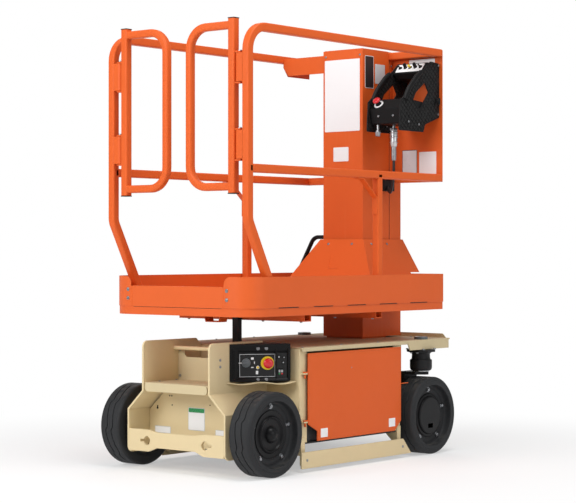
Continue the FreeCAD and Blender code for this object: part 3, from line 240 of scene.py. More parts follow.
def grain_group() -> bpy.types.NodeTree:
    """Build the group that gives a fine surface: orange peel in paint, or grain in plastic."""
    group = Group("Fine grain", {"Scale": 400.0, "Height": 0.0002, "Strength": 0.3,
                                 "Normal": "NodeSocketVector"}, {"Normal": "NodeSocketVector"})
    fine = group.noise(group.value("Scale"), 2.0)
    bump = group.add("ShaderNodeBump", {"Strength": group.value("Strength"),
                                        "Distance": group.value("Height"), "Height": fine,
                                        "Normal": group.value("Normal")})
    return group.close({"Normal": bump.outputs["Normal"]})


def rubbing_group() -> bpy.types.NodeTree:
    """Build the group for faint upright rub marks, as on a sliding or handled surface."""
    group = Group("Rub marks", {"Amount": 0.2, "Scale": 90.0}, {"Mask": "NodeSocketFloat"})
    stretch = group.add("ShaderNodeMapping", {"Scale": (1.0, 1.0, 0.03), "Vector": group.place()})
    lines = group.ramp(group.noise(group.value("Scale"), 3.0, stretch.outputs["Vector"]), 0.55, 0.72)
    patches = group.ramp(group.noise(4.0, 2.0), 0.45, 0.65)
    return group.close({"Mask": group.times(lines, patches, group.value("Amount"))})


class Groups:
    """The shader groups, each built once."""

    edge = edge_wear_and_highlight_group()
    tone = tone_group()
    grain = grain_group()
    rub = rubbing_group()


# ------------------------------------------------------------------ finishes
@dataclass(frozen=True)
class Finish:
    """A surface finish: colour, gloss and the scuffing that goes over them, whose lighter edges are partly
    painted highlights.
    """

    name: str
    colour: Triple
    roughness: float = 0.45
    # colour of scuffed edges and rub marks; where it is lighter than the paint it also paints an edge
    # highlight
    worn_and_highlight: Triple = (0.6, 0.6, 0.58)
    wear_and_highlight: float = 0.25
    specular: float = 0.5
    dust: float = 0.08
    metallic: float = 0.0
    variation: float = 0.1
    scale: float = 3.0
    grain_scale: float = 500.0
    grain_strength: float = 0.15
    coat: float = 0.0
    rub: float = 0.0
    wear_and_highlight_width: float = 0.0015
    grain_height: float = 0.0001
    uneven: float = 0.16
    matt_share: float = 0.5

    def build(self) -> bpy.types.Material:
        """Make the finish's material, or return it if it was built before."""
        found = bpy.data.materials.get(self.name)
        if found:
            return found
        material = bpy.data.materials.new(self.name)
        nodes = fresh_nodes(material)
        shader = nodes.add("ShaderNodeBsdfPrincipled", {"Metallic": self.metallic, "Coat Weight": self.coat,
                                                        "Specular IOR Level": self.specular})
        nodes.add("ShaderNodeOutputMaterial", {0: shader.outputs[0]})
        tone = nodes.group(Groups.tone, Color=(*self.colour, 1.0), Variation=self.variation,
                           Scale=self.scale, Dust=self.dust)
        edge = nodes.group(Groups.edge, Width=self.wear_and_highlight_width, Amount=self.wear_and_highlight)
        grain = nodes.group(Groups.grain, Scale=self.grain_scale, Height=self.grain_height,
                            Strength=self.grain_strength, Normal=edge["Normal"])
        # edges take the scuffed colour: partly real scuffing, partly a painted edge highlight
        colour, matt = nodes.mix(edge["Mask"], tone["Color"], self.worn_and_highlight), tone["Dust"]
        if self.rub > 0:
            mask = nodes.group(Groups.rub, Amount=self.rub)["Mask"]
            colour = nodes.mix(mask, colour, self.worn_and_highlight)
            matt = nodes.plus(matt, nodes.times(mask, self.matt_share))
        uneven = nodes.times(nodes.minus(nodes.noise(self.scale * 5, 4.0), 0.5), self.uneven)
        rough = nodes.plus(uneven, self.roughness, nodes.times(matt, self.matt_share))
        for label, value in (("Base Color", colour), ("Roughness", rough),
                             ("Normal", self.relief(nodes, grain["Normal"]))):
            nodes.tree.links.new(value, shader.inputs[label])
        return material

    def relief(self, nodes: Nodes, normal: Socket) -> Socket:
        """Return the normal as it is; finishes with a relief change it."""
        return normal


@dataclass(frozen=True)
class TreadPlateFinish(Finish):
    """Paint over a plate with rows of short raised dashes on its top face."""

    pitch: float = 0.034
    dash_height: float = 0.0012
    row_edge: Pair = (0.84, 0.92)
    dash_edge: Pair = (0.38, 0.5)
    level: float = 0.9

    def relief(self, nodes: Nodes, normal: Socket) -> Socket:
        """Add the raised dashes to the surface.

        Args:
            nodes: The material's nodes.
            normal: The finish's own normal.

        Returns:
            The normal with the dashes on it.
        """
        axes = nodes.split(nodes.place())
        ways = nodes.plus(axes["X"], axes["Y"]), nodes.minus(axes["X"], axes["Y"])
        across, along = (nodes.math("PINGPONG", nodes.math("DIVIDE", way, self.pitch), 1.0) for way in ways)
        dashes = [nodes.times(nodes.ramp(row, *self.row_edge),
                              nodes.minus(1.0, nodes.ramp(place, *self.dash_edge)))
                  for place, row in ((across, along), (along, across))]
        top = nodes.math("GREATER_THAN", nodes.split(nodes.facing())["Z"], self.level)
        height = nodes.times(nodes.math("MAXIMUM", *dashes), top)
        return nodes.add("ShaderNodeBump", {"Distance": self.dash_height, "Height": height,
                                            "Normal": normal}).outputs["Normal"]


def grey(value: float) -> Triple:
    """Return an even grey."""
    return value, value, value


ORANGE_COLOUR = (0.70, 0.112, 0.018)
# the fourth and fifth values are the scuffed edge colour and its amount; where lighter than the paint they
# add painted edge highlights too
ORANGE = Finish("orange_paint", ORANGE_COLOUR, 0.46, (0.86, 0.32, 0.12), 0.35, 0.22, 0.05)
MAST_ORANGE = Finish("mast_orange_paint", ORANGE_COLOUR, 0.46, (0.75, 0.3, 0.12), 0.35, 0.22, 0.05, rub=0.10)
FLOOR_ORANGE = TreadPlateFinish("orange_tread_plate", ORANGE_COLOUR, 0.48, (0.86, 0.32, 0.14), 0.3, 0.3, 0.12)
CREAM = Finish("cream_paint", (0.72, 0.585, 0.345), 0.45, (0.86, 0.78, 0.6), 0.3, 0.35, 0.1)
DECK_CREAM = TreadPlateFinish("cream_tread_plate", (0.60, 0.50, 0.31), 0.72, (0.80, 0.72, 0.55), 0.3, 0.12,
                              0.16, pitch=0.028)
RUBBER = Finish("solid_tyre_rubber", (0.026, 0.027, 0.029), 0.6, grey(0.07), 0.3, 0.2, variation=0.3,
                scale=9.0, grain_scale=700.0, grain_strength=0.3)
HUB_BLACK = Finish("hub_black_enamel", (0.009, 0.009, 0.010), 0.34, grey(0.12), 0.3, 0.15, 0.02, coat=0.02)
STEEL_BLACK = Finish("black_chassis_paint", (0.013, 0.013, 0.014), 0.42, grey(0.16), 0.3, 0.2, 0.04)
# the heavy edge scuffing lightens rib and rim edges, partly as scuffing and partly as a painted highlight
# against the shaded web
PLASTIC = Finish("black_moulded_plastic", (0.009, 0.009, 0.0095), 0.42, grey(0.075), 0.7, 0.13, 0.02,
                 grain_scale=1400.0, grain_strength=0.35)
GLOSS_BLACK = Finish("gloss_black_plastic", (0.005, 0.005, 0.0055), 0.2, grey(0.06), 0.3, 0.3, 0.0, coat=0.1)
CAP_GREY = Finish("cap_grey_paint", (0.1, 0.115, 0.125), 0.4, grey(0.4), 0.4)
ZINC = Finish("zinc_plated_steel", (0.58, 0.6, 0.62), 0.3, grey(0.8), 0.3, metallic=1.0, variation=0.2,
              scale=30.0)
BOLT_STEEL = Finish("bolt_steel", (0.34, 0.35, 0.37), 0.36, grey(0.7), 0.4, metallic=1.0, variation=0.25,
                    scale=40.0)
RED = Finish("stop_button_red", (0.62, 0.012, 0.02), 0.28, (0.8, 0.2, 0.2), 0.2, dust=0.02, coat=0.2)
YELLOW = Finish("stop_ring_yellow", (0.85, 0.6, 0.01), 0.35, (0.9, 0.75, 0.3), 0.2)
BATTERY = Finish("battery_case_grey", (0.06, 0.062, 0.066), 0.5, grey(0.2))
PLATE_WHITE = Finish("blank_white_plate", (0.86, 0.87, 0.88), 0.34, grey(0.7), 0.15, dust=0.02,
                     variation=0.04)
PLATE_GREY = Finish("blank_grey_plate", (0.62, 0.64, 0.66), 0.3, grey(0.5), 0.15, dust=0.02, variation=0.05)
PLATE_GREEN = Finish("blank_green_plate", (0.02, 0.3, 0.09), 0.35, (0.3, 0.5, 0.35), 0.15)
PLATE_EDGE = Finish("plate_edge_dark", (0.02, 0.02, 0.022), 0.4, wear_and_highlight=0.1)
# near black painted shade for recessed webs, hole openings and lines under pressed slots; also the dark joint
# beside the mast cover
PAINTED_SHADE_AND_JOINT_DARK = Finish("painted_shade_and_joint_dark", grey(0.006), 0.7, wear_and_highlight=0.0, dust=0.0)
CABLE = Finish("cable_sheath", (0.012, 0.012, 0.013), 0.5, grey(0.06), 0.1, grain_scale=900.0)


# ------------------------------------------------------------------ outlines
def rounded(points: Sequence[Sequence[float]], radii: float | Sequence[float], steps: int = 4,
            closed: bool = True) -> list[Vector]:
    """Round the corners of a line or outline.

    Args:
        points: Corners, in two or three dimensions.
        radii: One radius for every corner, or one for each.
        steps: Runs that each rounding gets.
        closed: Whether the last corner joins the first.

    Returns:
        The points of the rounded line, in three dimensions.
    """
    corners = [Vector((*point, 0.0)) if len(point) == 2 else Vector(point) for point in points]
    count = len(corners)
    sizes = [float(radii)] * count if isinstance(radii, (int, float)) else list(radii)
    line: list[Vector] = []
    for i, corner in enumerate(corners):
        ends = not closed and i in (0, count - 1)
        back = (corners[i - 1] - corner).normalized()
        ahead = (corners[(i + 1) % count] - corner).normalized()
        half = back.angle(ahead, math.pi) / 2
        if ends or sizes[i] <= 0 or half > math.radians(89):
            line.append(corner)
            continue
        centre = corner + (back + ahead).normalized() * (sizes[i] / math.sin(half))
        first, last = (corner + way * (sizes[i] / math.tan(half)) - centre for way in (back, ahead))
        line += [centre + first.slerp(last, step / steps).normalized() * sizes[i]
                 for step in range(steps + 1)]
    return line


def rect(left: float, low: float, right: float, high: float) -> list[Pair]:
    """Return the four corners of an upright rectangle."""
    return [(left, low), (right, low), (right, high), (left, high)]


def ring(radius: float, count: int, turn: float = 0.0) -> list[Pair]:
    """Return evenly spread points of a circle, the first one turned by an angle."""
    angles = [math.tau * (i / count) + turn for i in range(count)]
    return [(radius * math.cos(angle), radius * math.sin(angle)) for angle in angles]


def inset(loop: Sequence[Vector], depth: float) -> list[Vector]:
    """Move a flat loop's sides inwards, or outwards for a negative depth."""
    area = sum(a.x * b.y - b.x * a.y for a, b in zip(loop, [*loop[1:], loop[0]]))
    turn = 1.0 if area > 0 else -1.0
    moved = []
    for i, corner in enumerate(loop):
        before = (corner - loop[i - 1]).normalized()
        after = (loop[(i + 1) % len(loop)] - corner).normalized()
        first, second = (Vector((-way.y, way.x, 0.0)) * turn for way in (before, after))
        moved.append(corner + (first + second) * (depth / max(0.3, 1.0 + first.dot(second))))
    return moved


def placed(origin: Sequence[float], outward: Sequence[float], across: Sequence[float] = UP) -> Matrix:
    """Return the place whose third axis looks outward and whose second is nearest to across.

    Args:
        origin: The place's origin.
        outward: Direction of the third axis.
        across: Rough direction of the second axis.

    Returns:
        The matrix from the place to the machine.
    """
    third = Vector(outward).normalized()
    first = Vector(across).cross(third).normalized()
    matrix = Matrix((first, third.cross(first), third)).transposed().to_4x4()
    matrix.translation = Vector(origin)
    return matrix


def corners_of(node: str) -> tuple[Vector, Vector]:
    """Return the lowest and highest corner of a frame node's box."""
    low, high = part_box(node)
    return Vector(low), Vector(high)


# ------------------------------------------------------------------ pieces
class Piece:
    """One piece in the making: closed parts of one mesh that ride on one body."""

    def __init__(self, name: str, body: str, slot: Slot, *finishes: Finish) -> None:
        """Start an empty piece.

        Args:
            name: The piece's name.
            body: The body it rides on.
            slot: The record's material slot; not used.
            finishes: Its finishes, which parts choose by number.
        """
        self.name, self.body, self.slot, self.finishes = name, body, slot, finishes
        self.mesh = bmesh.new()

    def face(self, vertices: Sequence[bmesh.types.BMVert], finish: int) -> None:
        """Add one face with the finish of that number."""
        self.mesh.faces.new(vertices).material_index = finish

    def shell(self, rings: Sequence[Sequence[Vector]], place: Matrix = Matrix(), finish: int = 0,
              closed: bool = False, caps: bool = False) -> list[list[bmesh.types.BMVert]]:
        """Join rings of points into walls.

        Args:
            rings: Rings of equally many points; a ring of one point is a pole.
            place: Matrix from the rings to the machine.
            finish: Number of the finish.
            closed: Whether the last ring joins the first.
            caps: Whether the first and last ring get a face of their own.

        Returns:
            The vertices of each ring.
        """
        made = [[self.mesh.verts.new(place @ point) for point in points] for points in rings]
        for lower, upper in list(zip(made, made[1:])) + ([(made[-1], made[0])] if closed else []):
            for i in range(max(len(lower), len(upper))):
                corners = [lower[i % len(lower)], lower[(i + 1) % len(lower)],
                           upper[(i + 1) % len(upper)], upper[i % len(upper)]]
                self.face(list(dict.fromkeys(corners)), finish)
        for vertices in (made[0], made[-1]) if caps else ():
            self.face(vertices, finish)
        return made

    def slab(self, place: Matrix, outline: Sequence[Sequence[float]], start: float, end: float,
             edge: float = 0.0, finish: int = 0, holes: Sequence[Sequence[Sequence[float]]] = ()) -> None:
        """Add a flat part with rounded rims.

        Args:
            place: Matrix from the outline's plane to the machine.
            outline: The outline.
            start: Its lower face along the third axis.
            end: Its upper face.
            edge: Radius of the rims.
            finish: Number of the finish.
            holes: Outlines of holes.
        """
        low, high = sorted((start, end))
        steps = ((1.0, 0.0), (0.3, 0.3), (0.0, 1.0)) if edge > 0 else ((0.0, 0.0),)
        rims = [(edge * a, low + edge * b) for a, b in steps]
        rims += [(edge * a, high - edge * b) for a, b in reversed(steps)]
        caps: list[list[list[bmesh.types.BMVert]]] = [[], []]
        flat: list[list[list[Vector]]] = [[], []]
        for number, points in enumerate([outline, *holes]):
            loop = [Vector((point[0], point[1], 0.0)) for point in points]
            side = 1.0 if number == 0 else -1.0
            rings = [[Vector((p.x, p.y, height)) for p in inset(loop, side * depth)]
                     for depth, height in rims]
            made = self.shell(rings, place, finish)
            for cap in (0, -1):
                caps[cap].append(made[cap])
                flat[cap].append(rings[cap])
        for loops, outlines in zip(caps, flat):
            vertices = [vertex for loop in loops for vertex in loop]
            whole = [range(len(vertices))] if len(outlines) == 1 else tessellate_polygon(outlines)
            for numbers in whole:
                self.face([vertices[i] for i in numbers], finish)

    def block(self, low: Sequence[float], high: Sequence[float], edge: float = 0.001, finish: int = 0,
              place: Matrix = Matrix()) -> None:
        """Add a block with all its edges rounded, between two corners."""
        self.slab(place, rounded(rect(*low[:2], *high[:2]), edge, 2), low[2], high[2], edge, finish)

    def turned(self, place: Matrix, profile: Sequence[Pair], steps: int = 40, finish: int = 0,
               sides: bool = False) -> None:
        """Add a part turned about the place's third axis.

        Args:
            place: Matrix from the part to the machine.
            profile: Pairs of radius and height; it closes on itself unless it starts at the axis.
            steps: Number of sides.
            finish: Number of the finish.
            sides: Whether it is a flat-sided part with its sides square to the first axis.
        """
        shift = 0.5 if sides else 0.0
        rings = []
        for radius, height in profile:
            angles = [math.tau * (i + shift) / steps for i in range(steps if radius > 0 else 1)]
            rings.append([Vector((radius * math.cos(a), radius * math.sin(a), height)) for a in angles])
        self.shell(rings, place, finish, closed=profile[0][0] > 0)

    def tube(self, path: Sequence[Sequence[float]], section: Sequence[Pair], normal: Sequence[float],
             finish: int = 0) -> None:
        """Sweep a section along a flat path.

        Args:
            path: Points of the path.
            section: The section, as places along the normal and across it.
            normal: Direction square to the path's plane.
            finish: Number of the finish.
        """
        up, line = Vector(normal), [Vector(point) for point in path]
        rings = []
        for i, point in enumerate(line):
            before = (point - line[i - 1]).normalized() if i else None
            after = (line[i + 1] - point).normalized() if i + 1 < len(line) else None
            along = ((before or after) + (after or before)).normalized()
            stretch = 1.0 / max(0.2, along.dot(after or before))
            side = along.cross(up).normalized()
            rings.append([point + up * a + side * (b * stretch) for a, b in section])
        self.shell(rings, finish=finish, caps=True)

    def take(self, mesh: bpy.types.Mesh, place: Matrix = Matrix(), finish: int = 0) -> None:
        """Add a finished mesh to the piece and give it one finish."""
        mesh.transform(place)
        for polygon in mesh.polygons:
            polygon.material_index = finish
        self.mesh.from_mesh(mesh)

    def done(self, replaces: Sequence[str] = (), smooth: float = 38.0) -> bpy.types.Object:
        """Turn the piece into an object that rides on its body.

        Args:
            replaces: Frame nodes that it stands for.
            smooth: Largest angle between faces that shade as one surface, in degrees.

        Returns:
            The object.
        """
        bmesh.ops.recalc_face_normals(self.mesh, faces=self.mesh.faces[:])
        data = bpy.data.meshes.new(self.name)
        self.mesh.to_mesh(data)
        self.mesh.free()
        return finish_object(self.name, data, self.body, self.finishes, replaces, smooth)


def linked(name: str, data: bpy.types.ID | None) -> bpy.types.Object:
    """Make an object and put it in the scene."""
    made = bpy.data.objects.new(name, data)
    bpy.context.scene.collection.objects.link(made)
    return made


def finish_object(name: str, data: bpy.types.Mesh, body: str, finishes: Sequence[Finish],
                  replaces: Sequence[str] = (), smooth: float = 38.0) -> bpy.types.Object:
    """Make an object of a finished mesh, shade it and tie it to its body.

    Args:
        name: The object's name.
        data: Its mesh.
        body: The body it rides on.
        finishes: Its finishes by number.
        replaces: Frame nodes that it stands for.
        smooth: Largest angle that shades as one surface, in degrees.

    Returns:
        The object.
    """
    for item in finishes[len(data.materials):]:
        data.materials.append(item.build())
    data.polygons.foreach_set("use_smooth", [True] * len(data.polygons))
    data.set_sharp_from_angle(angle=math.radians(smooth))
    piece = linked(name, data)
    piece.modifiers.new("even_faces", "WEIGHTED_NORMAL").keep_sharp = True
    for node in replaces:
        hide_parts(node)
    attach(piece, body)
    LOG.info("%s: %d faces on %s", name, len(data.polygons), body)
    return piece


def blank_plate(piece: Piece, place: Matrix, low: Pair, high: Pair, corner: float, face: int = 0,
                rim: int = 0, trim: float = 0.0022) -> None:
    """Add a blank plate with a rim of its own, 1 mm thick in all.

    Args:
        piece: The piece that it goes into.
        place: Matrix from the plate's plane to the machine.
        low: Its lower corner in the machine's own upright plane.
        high: Its upper corner.
        corner: Radius of its corners.
        face: Number of the face's finish.
        rim: Number of the rim's finish.
        trim: Width of the rim.
    """
    flip = place.to_3x3().transposed()
    sideways = abs(place[1][2]) > 0.5
    ends = [flip @ (Vector((a, 0.0, b) if sideways else (0.0, a, b)) - place.translation)
            for a, b in (low, high)]
    (x0, x1), (y0, y1) = (sorted(end[axis] for end in ends) for axis in (0, 1))
    piece.slab(place, rounded(rect(x0, y0, x1, y1), corner, 4), 0.0001, 0.0007, 0.0002, rim)
    inner = rect(x0 + trim, y0 + trim, x1 - trim, y1 - trim)
    piece.slab(place, rounded(inner, max(corner - trim, 0.0005), 4), 0.0006, 0.0009, 0.0001, face)


# ------------------------------------------------------------------ repeats made by geometry nodes
class Tree(Group):
    """A geometry node tree with named inputs, run on a throw-away object."""

    def __init__(self, name: str, inputs: dict[str, object]) -> None:
        """Create the tree with a geometry and a material beside its own inputs."""
        solid = {"Geometry": "NodeSocketGeometry"}
        super().__init__(name, {**solid, **inputs, "Material": "NodeSocketMaterial"}, solid,
                         "GeometryNodeTree")

    def moved(self, shape: Socket, **change: Socket) -> Socket:
        """Return a shape moved or turned by the Transform node's inputs."""
        return self.add("GeometryNodeTransform", {"Geometry": shape, **change}).outputs[0]

    def spread(self, shape: Socket, **rotation: Socket) -> Socket:
        """Turn a shape by the input Turn about its foot and set it on every point."""
        turned = self.moved(shape, Rotation=self.combine(Z=self.value("Turn")))
        return self.add("GeometryNodeInstanceOnPoints", {"Points": self.value("Geometry"), "Instance": turned,
                                                         **rotation}).outputs[0]

    def end(self, geometry: Socket) -> "Tree":
        """Close the tree: make instances real, set the material and return the tree."""
        real = self.add("GeometryNodeRealizeInstances", {0: geometry}).outputs[0]
        self.close({0: self.add("GeometryNodeSetMaterial", {"Geometry": real, "Material":
                                                            self.value("Material")}).outputs[0]})
        return self

    def run(self, points: bpy.types.Mesh, finish: Finish, **values: object) -> bpy.types.Mesh:
        """Run the tree on a mesh and return the plain result.

        Args:
            points: The mesh that goes in.
            finish: The result's finish.
            values: Values of the inputs, by names with underscores for spaces.

        Returns:
            A new mesh.
        """
        holder = linked("holder", points)
        modifier = holder.modifiers.new("tree", "NODES")
        modifier.node_group = self.tree
        for key, value in {**values, "Material": finish.build()}.items():
            modifier[self.keys[key.replace("_", " ")]] = value
        result = bpy.data.meshes.new_from_object(holder.evaluated_get(bpy.context.evaluated_depsgraph_get()))
        holder.modifiers.clear()
        bpy.data.objects.remove(holder)
        return result


def spots_mesh(spots: Spots) -> bpy.types.Mesh:
    """Return a mesh of loose points, each with the direction that it looks in."""
    mesh = bpy.data.meshes.new("spots")
    mesh.from_pydata([tuple(place) for place, _ in spots], [], [])
    aim = mesh.attributes.new("aim", "FLOAT_VECTOR", "POINT")
    aim.data.foreach_set("vector", [value for _, outward in spots for value in outward])
    return mesh


def fastener_tree() -> Tree:
    """Build the tree that sets a screw or bolt with its washer on every point.

    The head grows by shares of its height: its side, its chamfer, the socket's rim and the socket.
    """
    tree = Tree("Fasteners", {"Radius": 0.006, "Height": 0.004, "Sides": 6, "Washer": 0.009,
                              "Washer Height": 0.0012, "Socket": 0.5, "Turn": 0.0})
    thick = tree.value("Washer Height")
    disc = tree.add("GeometryNodeMeshCylinder", {"Vertices": 20, "Radius": tree.value("Washer"),
                                                 "Depth": thick}).outputs["Mesh"]
    washer = tree.moved(disc, Translation=tree.combine(Z=tree.times(thick, 0.5)))
    outline = tree.add("GeometryNodeMeshCircle", {"Vertices": tree.value("Sides"),
                                                  "Radius": tree.value("Radius")}, fill_type="NGON")
    shape, top = tree.moved(outline.outputs[0], Translation=tree.combine(Z=thick)), None
    for rise, scale in ((0.72, None), (0.28, 0.8), (0.0, tree.value("Socket")), (-0.55, 0.92)):
        ways = {"Mesh": shape, "Offset Scale": tree.times(tree.value("Height"), rise)}
        grow = tree.add("GeometryNodeExtrudeMesh", ways if top is None else {**ways, "Selection": top})
        shape, top = grow.outputs["Mesh"], grow.outputs["Top"]
        if scale is not None:
            shape = tree.add("GeometryNodeScaleElements", {"Geometry": shape, "Selection": top,
                                                           "Scale": scale}).outputs[0]
    both = tree.add("GeometryNodeJoinGeometry", {0: washer})
    tree.tree.links.new(shape, both.inputs[0])
    aim = tree.add("GeometryNodeInputNamedAttribute", {"Name": "aim"}, data_type="FLOAT_VECTOR")
    align = tree.add("FunctionNodeAlignRotationToVector", {"Vector": aim.outputs["Attribute"]}, axis="Z")
    return tree.end(tree.spread(both.outputs[0], Rotation=align.outputs[0]))


def ribbon_tree() -> Tree:
    """Build the tree that lays one band of tread round a tyre, with saw-toothed sides."""
    flank, chamfer, chamfer_drop = 0.86, 0.0012, 0.0009
    tree = Tree("Tread band", {"Radius": 0.158, "Depth": 0.003, "Middle": 0.0, "Half": 0.015,
                               "Low Wave": 0.005, "High Wave": 0.005, "Teeth": 9.0, "Around": 217})
    grid = tree.add("GeometryNodeMeshGrid", {"Size X": 1.0, "Size Y": 3.0, "Vertices Y": 6,
                                             "Vertices X": tree.value("Around")}).outputs["Mesh"]
    share, across, _ = tree.split(tree.add("GeometryNodeInputPosition").outputs[0])
    share = tree.plus(share, 0.5)
    angle = tree.times(share, math.tau)
    tooth = tree.math("FRACT", tree.times(share, tree.value("Teeth")))
    rise = tree.math("DIVIDE", tooth, flank)
    fall = tree.math("DIVIDE", tree.minus(1.0, tooth), 1.0 - flank)
    wave = tree.minus(tree.math("MINIMUM", rise, fall), 0.5)
    high = tree.math("GREATER_THAN", across, 0.0)
    size = tree.plus(tree.times(tree.value("Low Wave"), tree.minus(1.0, high)),
                     tree.times(tree.value("High Wave"), high))
    inner = tree.math("LESS_THAN", tree.math("ABSOLUTE", across), 0.5)
    sunk = tree.math("GREATER_THAN", tree.math("ABSOLUTE", across), 1.2)
    sign = tree.minus(tree.times(high, 2.0), 1.0)
    reach = tree.minus(tree.value("Half"), tree.times(inner, chamfer))
    width = tree.plus(tree.times(sign, reach), tree.value("Middle"), tree.times(wave, size))
    bevel = tree.times(tree.minus(tree.minus(1.0, inner), sunk), chamfer_drop)
    radius = tree.minus(tree.value("Radius"), tree.plus(tree.times(sunk, tree.value("Depth")), bevel))
    place = tree.combine(X=tree.times(radius, tree.math("COSINE", angle)),
                         Y=tree.times(radius, tree.math("SINE", angle)), Z=width)
    bend = tree.add("GeometryNodeSetPosition", {"Geometry": grid, "Position": place})
    weld = tree.add("GeometryNodeMergeByDistance", {"Geometry": bend.outputs[0], "Distance": 0.00002})
    return tree.end(weld.outputs[0])


def rib_tree() -> Tree:
    """Build the tree that stands a straight rib with a narrower back on every point."""
    tree = Tree("Ribs", {"Length": 0.05, "Width": 0.004, "Height": 0.004, "Turn": 0.0})
    size = tree.combine(X=tree.value("Length"), Y=tree.value("Width"), Z=tree.value("Height"))
    bar = tree.add("GeometryNodeMeshCube", {"Size": size}).outputs["Mesh"]
    x, y, z = tree.split(tree.add("GeometryNodeInputPosition").outputs[0])
    narrow = tree.minus(1.0, tree.times(tree.math("GREATER_THAN", z, 0.0), 0.4))
    taper = tree.combine(X=x, Y=tree.times(y, narrow), Z=tree.plus(z, tree.times(tree.value("Height"), 0.5)))
    shape = tree.add("GeometryNodeSetPosition", {"Geometry": bar, "Position": taper})
    return tree.end(tree.spread(shape.outputs[0]))


class Trees:
    """The geometry node trees, each built once."""

    fasteners = fastener_tree()
    bands = ribbon_tree()
    ribs = rib_tree()


@dataclass(frozen=True)
class Fastener:
    """A kind of screw or bolt: head, washer and socket sizes in metres."""

    radius: float
    height: float
    sides: int = 6
    washer: float = 0.0
    socket: float = 0.5
    washer_height: float = 0.0012
    foot_height: float = 0.0002

    def place(self, name: str, body: str, slot: Slot, spots: Spots) -> None:
        """Set one of these on every spot and join them into one piece.

        Args:
            name: The piece's name.
            body: The body it rides on.
            slot: The record's material slot; not used.
            spots: Places and the directions that their heads look in.
        """
        thick = self.washer_height if self.washer > 0 else self.foot_height
        mesh = Trees.fasteners.run(spots_mesh(spots), BOLT_STEEL, Radius=self.radius, Height=self.height,
                                   Sides=self.sides, Washer=max(self.washer, self.radius * 0.9),
                                   Washer_Height=thick, Socket=self.socket)
        finish_object(name, mesh, body, [BOLT_STEEL], smooth=30.0)


HEX_BOLT = Fastener(0.0075, 0.006, washer=0.0105, socket=0.3)
SMALL_BOLT = Fastener(0.005, 0.004, washer=0.0072, socket=0.35)
CAP_SCREW = Fastener(0.0045, 0.003, sides=16)
PAN_SCREW = Fastener(0.0038, 0.002, sides=14, washer=0.0055, socket=0.45)
CAP_BOLT = Fastener(0.0038, 0.0018, socket=0.3)
POST = Fastener(0.0048, 0.0050, sides=18, washer=0.0066, socket=0.6)


